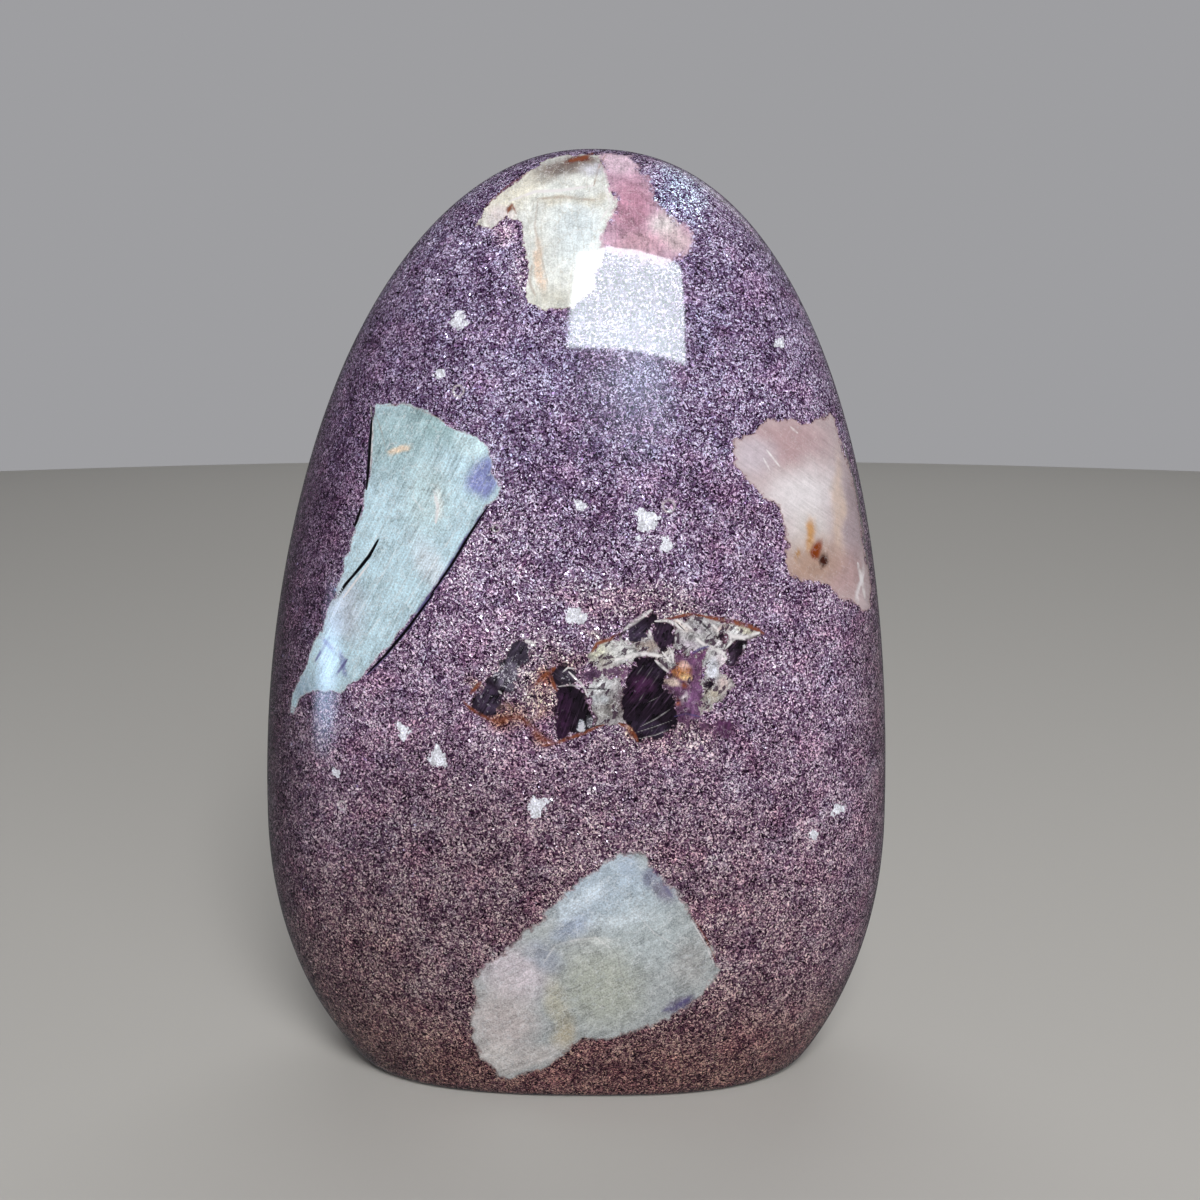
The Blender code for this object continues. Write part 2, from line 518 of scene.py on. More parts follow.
FISSURES = (
    Fissure(mm((-27.6, 84.6), (-29, 82.2), (-30.3, 80.6), (-32.1, 78.5)), width=0.3 * MM, deep=0.5 * MM),
    Fissure(mm((-31, 79.8), (-32.6, 78), (-34, 76)), width=0.26 * MM, deep=0.4 * MM),
    Fissure(mm((-28.8, 101.5), (-29, 98.2), (-29.2, 94.6), (-29.5, 91.2)), width=0.28 * MM, deep=0.3 * MM),
    Fissure(mm((-30.2, 89), (-31.3, 86)), width=0.26 * MM, deep=0.3 * MM),
    Fissure(mm((-12, 89.4), (-14.2, 86.1), (-17, 81.5), (-20.2, 76.9)), width=0.24 * MM, deep=0.3 * MM),
    Fissure(mm((-19.6, 77.4), (-23.4, 72.3), (-26.6, 68.5), (-29.5, 65.5)), width=0.26 * MM, deep=0.3 * MM),
)

SEAMS = (
    *seams(
        Stain.VIOLET,
        (0.62, 1, (
            (-12.2, 89.3), (-14.4, 86), (-17.2, 81.4), (-20.4, 76.6), (-23.6, 72.1), (-26.6, 68.4),
            (-29.5, 65.4),
        )),
        (0.36, 1, ((-35.1, 70.4), (-36.6, 68), (-37.6, 66.4))),
        (0.34, 1, ((-32.4, 67.4), (-33.6, 65.8), (-34.4, 64.6))),
        (0.7, 0.4, ((11, 38.4), (12.2, 36.6), (14, 34))),
        (0.9, 0.5, ((12.6, 16), (15.2, 17), (17.2, 18.6))),
        (0.22, 1, ((14, 60.4), (15.6, 60.8), (17.6, 60.3))),
        (0.34, 1, ((16.4, 69.2), (17.4, 69.8), (18.8, 70.2))),
    ),
    *seams(
        Stain.PALE,
        (0.26, 1, ((-29, 103), (-28.6, 99), (-28.9, 94))),
        (0.42, 1, ((-19.6, 91.6), (-19, 89.6), (-19.3, 87))),
        (0.26, 0.45, ((-22.8, 90.8), (-21.4, 89), (-20.6, 88.8))),
        (0.2, 0.45, ((-26.8, 96.6), (-26, 97.8), (-24.6, 98))),
        (0.24, 1, ((-29, 81.2), (-31, 78.6), (-33, 76))),
        (0.18, 0.45, ((-15.6, 87.4), (-19.6, 81.4), (-24.4, 74.8), (-28.4, 70.2))),
        (0.16, 0.45, ((-23.8, 85.6), (-27, 79.6), (-31.6, 72.6))),
        (0.14, 0.45, ((-26.4, 87.6), (-30.2, 80.8))),
        (0.14, 0.45, ((-20.6, 84), (-25.2, 76.4), (-30.4, 69.8), (-34, 66.6))),
        (0.5, 1, ((41.1, 80.3), (41.9, 77.6), (42.5, 74.9))),
        (0.22, 1, ((30.4, 100.2), (31.6, 99.2))),
        (0.2, 1, ((26.8, 97.2), (28.9, 94.6))),
        (0.2, 1, ((26.4, 96), (27.4, 94.2))),
        (0.2, 0.6, ((16.6, 30.6), (18.6, 27), (20.1, 23.4))),
        (0.3, 0.45, ((-4.6, 23.8), (-2.8, 26.8), (0, 27.6), (3, 28), (5, 26.4))),
        (0.16, 0.45, ((8, 32.6), (11.4, 28.6), (16, 25.8))),
        (0.45, 0.8, ((-9.4, 131.6), (-5.6, 133), (-2.1, 133.1), (2.7, 133.8))),
        (0.3, 0.7, ((4, 134.2), (5.2, 131), (3.6, 128.6))),
        (0.46, 1, ((6.8, 72.5), (8.4, 73.7), (9.6, 74.6), (10.8, 75.4))),
        (0.34, 1, ((11.2, 73.8), (12.8, 73.9), (13.8, 73.5), (15.2, 72.6))),
        (0.3, 1, ((14.2, 74), (15.4, 73.4), (16.4, 72.6))),
        (0.3, 1, ((10.4, 72.6), (10.7, 71.8))),
        (0.26, 1, ((-0.8, 66.8), (0.2, 65.8), (0.9, 65.2), (1.5, 64.3), (1.8, 63.4))),
        (0.2, 1, ((-2.2, 64.7), (-0.4, 64.9), (1, 64.6))),
        (0.44, 1, ((-6.8, 71.1), (-6, 70.8), (-5.3, 70.3))),
        (0.26, 0.7, ((-10.6, 64), (-10.1, 63.5))),
        (0.18, 1, ((-1.6, 66.7), (-0.9, 67.3), (0.2, 67.2))),
        (0.42, 1, ((5.6, 68.4), (8, 69), (10, 69.3), (12.2, 68.9))),
        (0.32, 1, ((11.2, 68.4), (12.2, 67.5), (13.2, 66.6))),
        (0.26, 1, ((12.2, 69.6), (13, 68.6), (13.6, 67.2))),
        (0.24, 1, ((13.2, 70.2), (13.7, 69), (13.8, 67.9))),
        (0.4, 1, ((16.9, 71.4), (18, 70.5), (19.4, 69.9), (20.8, 69.1), (21.3, 68.2))),
        (0.5, 1, ((21.4, 71.9), (22.4, 71.4), (23.8, 71.2), (26, 71.8))),
        (0.3, 1, ((19.3, 73.2), (20, 72.4), (20, 71.6))),
        (0.24, 1, ((21, 69.6), (21.9, 70.6), (21.8, 71.8))),
        (0.16, 0.5, ((9.2, 59), (11.4, 60.1), (13.5, 61.5))),
        (0.13, 0.5, ((8.4, 58.1), (11, 58.9), (13.8, 59.9))),
        (0.14, 0.6, ((9, 57.3), (11.4, 57.8), (13.6, 58.7))),
        (0.12, 0.4, ((10.2, 62.4), (12, 63.3))),
        (0.11, 0.5, ((9, 62.6), (9.8, 63.8))),
        (0.1, 0.4, ((8.6, 66.2), (9.8, 67.8))),
        (0.12, 0.4, ((9.4, 65), (11, 67.4))),
        (0.1, 0.4, ((10.6, 64.6), (12, 66.6))),
    ),
    *seams(
        Stain.DARK,
        (0.35, 1, ((39, 97.6), (40.8, 92.6), (41.7, 88.4), (42.5, 83.4), (43.6, 77.6))),
        (0.22, 0.45, ((4.8, 27), (6.2, 25.2), (6.6, 22.6), (7.4, 20.4))),
        (0.2, 0.45, ((-4, 23), (-2.4, 26.2), (0.2, 27), (3, 27.2))),
        (0.24, 0.45, ((-11.2, 5.2), (-6.6, 7.2), (-2.6, 9.4))),
        (0.18, 0.45, ((12.2, 27.4), (15.2, 24.6), (18.6, 22.6))),
        (0.16, 0.45, ((14.2, 22.2), (16.8, 23.6), (18.8, 21.4))),
        (0.14, 0.45, ((10.4, 25), (13.6, 23.4), (15.4, 20.6))),
    ),
    *seams(
        Stain.RUST,
        (0.22, 0.6, ((16.9, 31), (18.9, 27.4), (20.4, 23.8))),
        (0.3, 0.5, ((-12.6, 131.2), (-10, 133.7), (-6.6, 136))),
        (0.3, 0.7, ((-9.6, 129.8), (-8.9, 131.2), (-8.2, 129.8))),
        (0.6, 1, ((-0.8, 137.6), (0.9, 138), (2.6, 138.9))),
        (0.5, 0.7, ((-15.6, 62.4), (-14.4, 61.2), (-12.8, 60.3), (-11.2, 59.6))),
        (1.1, 0.55, ((-12.4, 60), (-10.4, 59.6), (-8.6, 60.4), (-7, 60.2))),
        (1, 0.55, ((-7.2, 60), (-5.8, 58.6), (-4.6, 57.2), (-3, 56.8))),
        (0.5, 1, ((-14.6, 63.4), (-13, 65.2))),
        (0.6, 1, ((-5.6, 64.8), (-4.2, 66), (-2.6, 67.4))),
        (0.4, 1, ((-3.2, 66.2), (-2.9, 65), (-2.4, 64))),
        (0.42, 1, ((-4.6, 56.2), (-2.6, 56.6), (-0.6, 57.4), (1.6, 58.2), (3.2, 59), (4.2, 59.3))),
        (0.5, 1, ((6.2, 59.5), (7.6, 58.9), (8.5, 57.6), (8.9, 56.8))),
        (0.6, 1, ((18.2, 74.3), (20.2, 73.9), (22, 73.5), (24, 72.9), (25.6, 72.3), (26.6, 71.6))),
        (0.4, 1, ((2.3, 69.3), (3.2, 70.7), (5, 71.3), (6.4, 72.2))),
        (0.34, 1, ((12, 73.9), (14, 74.3), (16, 74.7), (18.2, 74.4))),
    ),
    *seams(
        Stain.OCHRE,
        (0.4, 0.5, ((-5.4, 131.9), (-1.6, 132.2), (3.1, 131.6))),
        (0.35, 0.4, ((-5.2, 131.6), (-5.6, 128), (-4.6, 123.8), (-3.6, 119.4))),
        (0.5, 0.5, ((-5.9, 122.6), (-6.2, 120), (-5.4, 118.2))),
        (0.3, 0.6, ((2.7, 133.7), (3.3, 136.2), (4.4, 138.6))),
        (0.24, 0.4, ((-28.2, 102.8), (-24, 103.4), (-19.6, 101.8), (-16.4, 99.9))),
        (0.18, 0.5, ((-28.2, 101.8), (-27.2, 99.4), (-26.6, 97.2))),
        (0.7, 0.5, ((-10.8, 61.4), (-9.6, 62.2), (-8.6, 61.4))),
        (0.8, 0.4, ((-6.6, 59.4), (-5, 60.4), (-3.8, 61.8))),
    ),
    *seams(
        Stain.INK,
        (0.2, 1, ((1.3, 64.4), (3.4, 64.4), (5.4, 64.2))),
        (0.26, 1, ((17.3, 73.9), (18.4, 72.8), (19.2, 71.9))),
        (0.16, 1, ((20.9, 69.7), (21.6, 70.9))),
        (0.2, 1, ((13, 68.2), (13.6, 67.4))),
        (0.26, 1, ((-2.9, 66), (-2.5, 65.3), (-1.9, 64.8))),
        (0.16, 1, ((2.2, 58.9), (3.2, 59.2), (4.1, 59.3))),
        (0.14, 1, ((14.2, 73.6), (15.4, 72.4))),
    ),
    *seams(
        Stain.RUST,
        (0.45, 0.8, ((-17.6, 37.2), (-14.5, 39.2), (-11, 40.6), (-7, 43.6), (-2.6, 42))),
        side=Side.BACK,
    ),
    *seams(
        Stain.INK,
        (0.32, 0.8, ((13.6, 93.6), (11.4, 84), (8.8, 75), (6.4, 66.4))),
        side=Side.BACK,
    ),
)

PITS = (
    Pit((0.0131, -0.0212, 0.0896), radius=0.85 * MM, deep=0.12 * MM),
    Pit((-0.0161, -0.0167, 0.1052), radius=0.8 * MM, deep=0.10 * MM),
    Pit((-0.0337, -0.0198, 0.0460), radius=0.7 * MM, deep=0.10 * MM),
    Pit((-0.0108, -0.0211, 0.0865), radius=0.5 * MM, deep=0.10 * MM),
    Pit((0.0386, -0.0160, 0.0330), radius=0.6 * MM, deep=0.10 * MM),
    Pit((-0.0225, -0.0190, 0.0160), radius=0.7 * MM, deep=0.10 * MM),
    Pit((0.0120, 0.0220, 0.0600), radius=0.8 * MM, deep=0.12 * MM),
    Pit((-0.0200, 0.0200, 0.0500), radius=0.6 * MM, deep=0.10 * MM),
)


# Clouds of colour

# Half size in millimetres below which a cloud is too small for the plain mesh
FINE_RADIUS = 0.9


@dataclass(frozen=True)
class Cloud:
    """Soft cloud of colour inside a mineral.

    Attributes:
        place: its middle in millimetres.
        radii: its half sizes in millimetres.
        colour: the colour that it brings.
        strength: how much of that colour it brings, 0 to 1.
        turn: how far it is turned on the face, in degrees, positive with its top to the left.
        softness: how wide its fading edge is, as a share of its radii.
    """

    place: tuple[float, float, float]
    radii: tuple[float, float, float]
    colour: Colour
    strength: float = 0.8
    turn: float = 0.0
    softness: float = 0.6

    def mask(self, points: np.ndarray) -> np.ndarray:
        """How strongly the cloud shows at each point, from 0 to 1."""
        x, y, z = ((points / MM - np.array(self.place)) / np.array((1.0, self.radii[1], 1.0))).T
        turn = math.radians(self.turn)
        across = (x * math.cos(turn) + z * math.sin(turn)) / self.radii[0]
        along = (z * math.cos(turn) - x * math.sin(turn)) / self.radii[2]
        reach = np.sqrt(across**2 + y**2 + along**2)
        return self.strength * smooth((1.0 + self.softness - reach) / (2.0 * self.softness))


@dataclass(frozen=True)
class Colouring:
    """Main colour of a mineral with its clouds, laid over each other in order."""

    base: Colour
    clouds: tuple[Cloud, ...] = ()

    def colours(self, points: np.ndarray) -> np.ndarray:
        """Linear colour at each point, one row of four channels each."""
        colours = np.tile(np.array(self.base), (len(points), 1))
        for cloud in self.clouds:
            share = cloud.mask(points)[:, None]
            colours = colours * (1.0 - share) + np.array(cloud.colour) * share
        return colours

    def fine_spots(self) -> list[Cloud]:
        """The clouds that are too small for the plain mesh."""
        return [cloud for cloud in self.clouds if min(cloud.radii) < FINE_RADIUS]


# Mesh of the stone


@dataclass
class StoneBody:
    """The whole stone as one closed mesh, finer where fissures, pits and small crystals need it.

    Attributes:
        form: the surface that the mesh follows.
        patches, fissures, seams, pits: what the surface shows.
        colourings: the colours of each mineral and of the mica, by name; the mica's hold painted shade at
            its sides and foot.
        across, deep, tall: how many faces the plain mesh has along each axis.
        relief: how far minerals stand above the mica.
        rim: how high the rim of a pit is.
        margins: how far from a cut the edges are split, once for each time.
        wander, outline_wander: how far the edges of clouds and of outlines stray.
        wander_waves, outline_waves, fine_waves: waves to the metre of that straying.
        fine_share: how much the finest waves count.
        outside: the depth that is kept for points far from a mineral.
        grain_reach: how far past its outline a mineral's grain holds.
        rim_spread: how far the bake map spreads the sides of the stone outwards.
        front_map, back_map: from where to where each half of the bake map goes.
        map_foot, map_height: where both begin and how high they are.
    """

    form: StoneForm
    patches: tuple[Patch, ...]
    fissures: tuple[Fissure, ...]
    seams: tuple[Seam, ...]
    pits: tuple[Pit, ...]
    colourings: dict[str, Colouring]
    across: int = 84
    deep: int = 42
    tall: int = 126
    relief: float = 0.03 * MM
    rim: float = 0.03 * MM
    margins: tuple[float, ...] = (1.6 * MM, 0.9 * MM, 0.5 * MM)
    wander: float = 0.9 * MM
    outline_wander: float = 0.45 * MM
    wander_waves: float = 240.0
    outline_waves: float = 420.0
    fine_waves: float = 1150.0
    fine_share: float = 0.35
    outside: float = -9.0 * MM
    grain_reach: float = 0.8 * MM
    rim_spread: float = 0.8
    front_map: Point = (0.006, 0.541)
    back_map: Point = (0.551, 0.994)
    map_foot: float = 0.006
    map_height: float = 0.988

    def box_grid(self) -> bmesh.types.BMesh:
        """Cube whose edges are divided to suit the stone's width, depth and height."""
        bm = bmesh.new()
        bmesh.ops.create_cube(bm, size=2.0)
        for axis, segments in enumerate((self.across, self.deep, self.tall)):
            along = [e for e in bm.edges if abs(e.verts[0].co[axis] - e.verts[1].co[axis]) > 1.0]
            bmesh.ops.subdivide_edges(bm, edges=along, cuts=segments - 1, use_grid_fill=True)
        return bm

    @staticmethod
    def directions(bm: bmesh.types.BMesh) -> np.ndarray:
        """Unit direction of each vertex of the divided cube, at even angles."""
        cube = np.array([vert.co[:] for vert in bm.verts])
        spread = np.tan(np.clip(cube, -1.0, 1.0) * math.pi / 4)
        return spread / np.linalg.norm(spread, axis=1, keepdims=True)

    def cut_distance(self, points: np.ndarray) -> np.ndarray:
        """Distance of each point from the nearest fissure, pit or seam."""
        nearest = np.full(len(points), np.inf)
        for fissure in self.fissures:
            nearest = np.minimum(nearest, fissure.distance(points))
        for pit in self.pits:
            nearest = np.minimum(nearest, np.abs(pit.distance(points) - pit.radius / 2))
        for seam in self.seams:
            nearest = np.minimum(nearest, seam.distance(points))
        return nearest

    def needs_finer(self, points: np.ndarray, level: int) -> np.ndarray:
        """Which points need the edges round them split.

        Args:
            points: the points, one row each.
            level: how many times they were split before.

        Returns:
            True for each point that does.
        """
        margin = self.margins[level]
        fine = self.cut_distance(points) < margin
        if level > 1:
            return fine
        for colouring in self.colourings.values():
            for spot in colouring.fine_spots():
                fine |= spot.mask(points) > 0.0
        if level > 0:
            return fine
        for patch in self.patches:
            fine |= patch.depth(points) > -margin / 2
        return fine

    def refine(self, bm: bmesh.types.BMesh) -> None:
        """Split the edges inside minerals once, in small spots twice and near cuts and seams three times."""
        for level in range(len(self.margins)):
            fine = self.needs_finer(self.form.points(self.directions(bm)), level)
            bm.verts.index_update()
            edges = [e for e in bm.edges if fine[e.verts[0].index] and fine[e.verts[1].index]]
            bmesh.ops.subdivide_edges(bm, edges=edges, cuts=1, use_grid_fill=True)
        wide = [face for face in bm.faces if len(face.verts) > 4]
        bmesh.ops.triangulate(bm, faces=wide)

    def carve(self, bm: bmesh.types.BMesh) -> None:
        """Cut the fissures and pits into the surface and raise the hard minerals a hair above the mica."""
        points = np.array([vert.co[:] for vert in bm.verts])
        sink = np.zeros(len(points))
        for fissure in self.fissures:
            sink = np.maximum(sink, fissure.deep * smooth(fissure.inside(points)))
        lift = np.zeros(len(points))
        for pit in self.pits:
            share = pit.distance(points) / pit.radius
            sink = np.maximum(sink, pit.deep * smooth((1.0 - share) * 2.5))
            lift = np.maximum(lift, self.rim * smooth(1.0 - np.abs(share - 1.05) * 4.0))
        for patch in self.patches:
            if patch.mineral is not Mineral.PRISM:
                lift = np.maximum(lift, self.relief * smooth(patch.depth(points) / (0.5 * MM)))
        bm.normal_update()
        above_foot = points[:, 2] > self.form.foot_ease
        for vert, change in zip(bm.verts, (lift - sink) * above_foot):
            vert.co += vert.normal * float(change)

    def wandered(self, mesh: bpy.types.Mesh, waves: float, reach: float) -> np.ndarray:
        """Points of the surface, each moved a little, so that outlines and clouds laid over them are uneven.

        Args:
            mesh: the stone's mesh.
            waves: how many waves the unevenness has to the metre.
            reach: how far it moves them.

        Returns:
            One row for each vertex.
        """
        moved = []
        for vert in mesh.vertices:
            fine = self.fine_share * noise.noise_vector(vert.co * self.fine_waves)
            away = noise.noise_vector(vert.co * waves) + fine
            moved.append((vert.co + away * reach)[:])
        return np.array(moved)

    def write_depths(self, mesh: bpy.types.Mesh) -> None:
        """Store on each vertex how many millimetres it lies inside each mineral, and its stains."""
        points = np.array([vert.co[:] for vert in mesh.vertices])
        rough = self.wandered(mesh, self.outline_waves, self.outline_wander)
        for mineral in Mineral:
            depth = np.full(len(points), self.outside)
            for patch in self.patches:
                if patch.mineral is mineral:
                    depth = np.maximum(depth, patch.depth(rough))
            self.store(mesh, mineral.value, depth / MM)
        self.store(mesh, "fissure", np.max([fissure.inside(points) for fissure in self.fissures], axis=0))
        for stain in Stain:
            lines = [seam.inside(points) * seam.strength for seam in self.seams if seam.stain is stain]
            self.store(mesh, stain.value, np.max(lines, axis=0))
        grain = np.zeros(len(points))
        for patch in self.patches:
            grain = np.where(patch.depth(points) > -self.grain_reach, math.radians(patch.grain), grain)
        self.store(mesh, "grain_turn", grain)
        # Painted highlight: how strongly each point lies on a pit's rim, which the material paints pale.
        rim = np.zeros(len(points))
        for pit in self.pits:
            rim = np.maximum(rim, smooth(1.0 - np.abs(pit.distance(points) / pit.radius - 0.95) * 4.0))
        self.store(mesh, "pit_rim", rim)

    def write_bake_map(self, mesh: bpy.types.Mesh) -> None:
        """Add a map with the front and the back of the stone side by side, their rims spread outwards."""
        points = np.array([vert.co[:] for vert in mesh.vertices])
        flat = points[:, [0, 2]] - (0.0, self.form.height / 2)
        outward = flat / np.maximum(np.linalg.norm(flat, axis=1), 0.1 * MM)[:, None]
        faces = len(mesh.polygons)
        centres, sizes = np.empty(faces * 3), np.empty(faces, np.int32)
        mesh.polygons.foreach_get("center", centres)
        mesh.polygons.foreach_get("loop_total", sizes)
        corners = np.empty(len(mesh.loops), np.int32)
        mesh.loops.foreach_get("vertex_index", corners)
        front = np.repeat(centres.reshape(-1, 3)[:, 1] < 0.0, sizes)
        spots = np.empty((len(corners), 2))
        for side, (low, high) in ((Side.FRONT, self.front_map), (Side.BACK, self.back_map)):
            chosen = front if side is Side.FRONT else ~front
            turned = np.abs(points[:, 1]).max() - points[:, 1] * side.value
            spread = (flat + outward * (self.rim_spread * turned)[:, None])[corners[chosen]]
            share = (spread - spread.min(axis=0)) / np.ptp(spread, axis=0)
            spots[chosen] = share * (high - low, self.map_height) + (low, self.map_foot)
        layer = mesh.uv_layers.new(name="OFBake")
        layer.data.foreach_set("uv", spots.ravel())

    def write_colours(self, mesh: bpy.types.Mesh) -> None:
        """Store on each vertex the colour of each mineral there, the edges of its clouds a little uneven."""
        points = self.wandered(mesh, self.wander_waves, self.wander)
        for name, colouring in self.colourings.items():
            attribute = mesh.attributes.new(name + "_tint", "FLOAT_COLOR", "POINT")
            attribute.data.foreach_set("color", colouring.colours(points).astype(np.float32).ravel())

    @staticmethod
    def store(mesh: bpy.types.Mesh, name: str, values: np.ndarray) -> None:
        """Keep one number for each vertex under a name that the material reads."""
        attribute = mesh.attributes.new(name, "FLOAT", "POINT")
        attribute.data.foreach_set("value", values.astype(np.float32))

    def build(self) -> bpy.types.Object:
        """Make the stone's object, without its material.

        Returns:
            The object, at the origin, with its place in its mesh.
        """
        bm = self.box_grid()
        self.refine(bm)
        for vert, point in zip(bm.verts, self.form.points(self.directions(bm))):
            vert.co = Vector(point)
        bmesh.ops.recalc_face_normals(bm, faces=bm.faces[:])
        self.carve(bm)
        mesh = bpy.data.meshes.new(PIECE_NAME)
        bm.to_mesh(mesh)
        bm.free()
        mesh.shade_smooth()
        self.write_depths(mesh)
        self.write_colours(mesh)
        self.write_bake_map(mesh)
        return placed(PIECE_NAME, mesh)


# Shader building


class Graph:
    """Short calls that place and join shader nodes in one tree."""

    def __init__(self, tree: bpy.types.ShaderNodeTree) -> None:
        """Keep the tree that the nodes go into."""
        self.tree = tree

    def node(self, kind: str, inputs: dict | None = None, **settings) -> bpy.types.ShaderNode:
        """Place a node.

        Args:
            kind: its type without the leading ShaderNode.
            inputs: input name or number to a socket to join or a value to set.
            settings: properties of the node.

        Returns:
            The node.
        """
        made = self.tree.nodes.new("ShaderNode" + kind)
        for name, value in settings.items():
            setattr(made, name, value)
        self.feed_all(made, inputs or {})
        return made

    def feed(self, socket: Socket, value: object) -> None:
        """Join a socket to another, or set its value."""
        if isinstance(value, bpy.types.NodeSocket):
            self.tree.links.new(value, socket)
        else:
            socket.default_value = value

    def feed_all(self, node: bpy.types.ShaderNode, inputs: dict[str | int, object]) -> None:
        """Join or set several inputs of a node, by their names or numbers."""
        for name, value in inputs.items():
            self.feed(node.inputs[name], value)

    def math(self, operation: str, *values: object) -> Socket:
        """Result of a Math node."""
        return self.node("Math", dict(enumerate(values)), operation=operation).outputs[0]

    def vector(self, operation: str, *values: object) -> Socket:
        """Result of a Vector Math node."""
        made = self.node("VectorMath", dict(enumerate(values)), operation=operation)
        return made.outputs["Value" if operation == "DOT_PRODUCT" else "Vector"]

    def joined(self, x: object, y: object, z: object) -> Socket:
        """Vector made of three numbers."""
        return self.node("CombineXYZ", {0: x, 1: y, 2: z}).outputs[0]

    def scaled(self, vector: object, factor: object) -> Socket:
        """Vector times a number."""
        made = self.node("VectorMath", {0: vector, "Scale": factor}, operation="SCALE")
        return made.outputs["Vector"]

    def ramp_up(self, value: object, low: object, high: object) -> Socket:
        """Carry a value evenly from one range to 0 to 1, clamped."""
        return self.node("MapRange", {0: value, 1: low, 2: high, 3: 0.0, 4: 1.0}).outputs[0]

    def remap(
        self, value: object, low: float, high: float, to_low: float = 0.0, to_high: float = 1.0
    ) -> Socket:
        """Smoothly carry a value from one range to another, clamped."""
        made = self.node(
            "MapRange", {0: value, 1: low, 2: high, 3: to_low, 4: to_high}, interpolation_type="SMOOTHSTEP"
        )
        return made.outputs[0]

    def mix(self, share: object, first: object, second: object, blend: str = "MIX") -> Socket:
        """Mix of two colours."""
        made = self.node("Mix", {0: share, 6: first, 7: second}, data_type="RGBA", blend_type=blend)
        return made.outputs[2]

    def mix_values(self, share: object, first: object, second: object) -> Socket:
        """Mix of two numbers."""
        return self.node("Mix", {0: share, 2: first, 3: second}, data_type="FLOAT").outputs[0]

    def noise(self, vector: object, scale: float, detail: float, rough: float) -> bpy.types.ShaderNode:
        """Noise texture of that many waves to the unit of the vector."""
        inputs = {"Vector": vector, "Scale": scale, "Detail": detail, "Roughness": rough}
        return self.node("TexNoise", inputs)

    def ramp(self, value: object, stops: Iterable[tuple[float, Colour]]) -> Socket:
        """Colour that a value picks from a row of stops."""
        made = self.node("ValToRGB", {0: value})
        elements = made.color_ramp.elements
        for index, (place, colour) in enumerate(stops):
            element = elements[index] if index < 2 else elements.new(place)
            element.position = place
            element.color = colour
        return made.outputs[0]

    def attribute(self, name: str, output: str = "Fac") -> Socket:
        """Number, or with output Color the colour, that the mesh holds under a name."""
        return self.node("Attribute", attribute_name=name).outputs[output]

    def group(self, tree: bpy.types.ShaderNodeTree, **inputs: object) -> bpy.types.ShaderNode:
        """Place a node group and feed its inputs, whose names have underscores for spaces here."""
        made = self.node("Group", node_tree=tree)
        self.feed_all(made, {name.replace("_", " "): value for name, value in inputs.items()})
        return made


def new_group(
    name: str, inputs: dict[str, object], outputs: tuple[str, ...]
) -> tuple[Graph, bpy.types.NodeInputs, bpy.types.ShaderNode]:
    """Start a shader node group that puts out numbers.

    Args:
        name: the group's name.
        inputs: input name to its default value, a number for a float and three numbers for a vector.
        outputs: the names of its outputs.

    Returns:
        The graph to build in, the sockets that give the inputs and the node that takes the outputs.
    """
    tree = bpy.data.node_groups.new(name, "ShaderNodeTree")
    for label, default in inputs.items():
        kind = "NodeSocketFloat" if isinstance(default, float) else "NodeSocketVector"
        socket = tree.interface.new_socket(label, in_out="INPUT", socket_type=kind)
        socket.default_value = default
    for label in outputs:
        tree.interface.new_socket(label, in_out="OUTPUT", socket_type="NodeSocketFloat")
    return Graph(tree), tree.nodes.new("NodeGroupInput").outputs, tree.nodes.new("NodeGroupOutput")


def flake_group() -> bpy.types.ShaderNodeTree:
    """Small flat grains, each with its own lightness, tint and tilt."""
    graph, given, result = new_group(
        "Mineral grains",
        {"Vector": ORIGIN, "Grain Size": 0.0005, "Stretch": 1.8, "Turn": 0.5, "Tilt": 0.3},
        ("Lightness", "Tint", "Glint", "Height"),
    )
    turn = graph.joined(0.0, given["Turn"], 0.0)
    long = graph.math("MULTIPLY", given["Grain Size"], given["Stretch"])
    size = graph.joined(given["Grain Size"], given["Grain Size"], long)
    mapping = {"Vector": given["Vector"], "Rotation": turn, "Scale": size}
    local = graph.node("Mapping", mapping, vector_type="TEXTURE").outputs[0]
    cells = graph.node("TexVoronoi", {"Vector": local, "Scale": 1.0, "Randomness": 1.0}).outputs
    parts = graph.node("SeparateColor", {0: cells["Color"]}).outputs
    away = graph.vector("SUBTRACT", local, cells["Position"])
    lean = graph.vector("SUBTRACT", cells["Color"], (0.5, 0.5, 0.5))
    slope = graph.math("MULTIPLY", graph.vector("DOT_PRODUCT", away, lean), given["Tilt"])
    height = graph.math("MULTIPLY", slope, given["Grain Size"])
    graph.feed_all(result, {"Lightness": parts[0], "Tint": parts[1], "Glint": parts[2], "Height": height})
    return graph.tree


def edge_group() -> bpy.types.ShaderNodeTree:
    """Whether a point lies inside a mineral, from its depth in millimetres, with a rough edge and a rim."""
    graph, given, result = new_group(
        "Mineral edge",
        {"Vector": ORIGIN, "Depth": 0.0, "Raggedness": 0.3, "Rim Width": 0.15, "Softness": 0.08},
        ("Mask", "Rim"),
    )
    coarse = graph.noise(given["Vector"], 900.0, 3.0, 0.7).outputs[0]
    jag = graph.math("MULTIPLY", graph.math("SUBTRACT", coarse, 0.5), given["Raggedness"])
    depth = graph.math("ADD", given["Depth"], graph.math("MULTIPLY", jag, 4.0))
    below = graph.math("MULTIPLY", given["Softness"], -1.0)
    mask = graph.ramp_up(depth, below, given["Softness"])
    rim = graph.ramp_up(graph.math("ABSOLUTE", depth), given["Rim Width"], 0.0)
    graph.feed_all(result, {"Mask": mask, "Rim": rim})
    return graph.tree


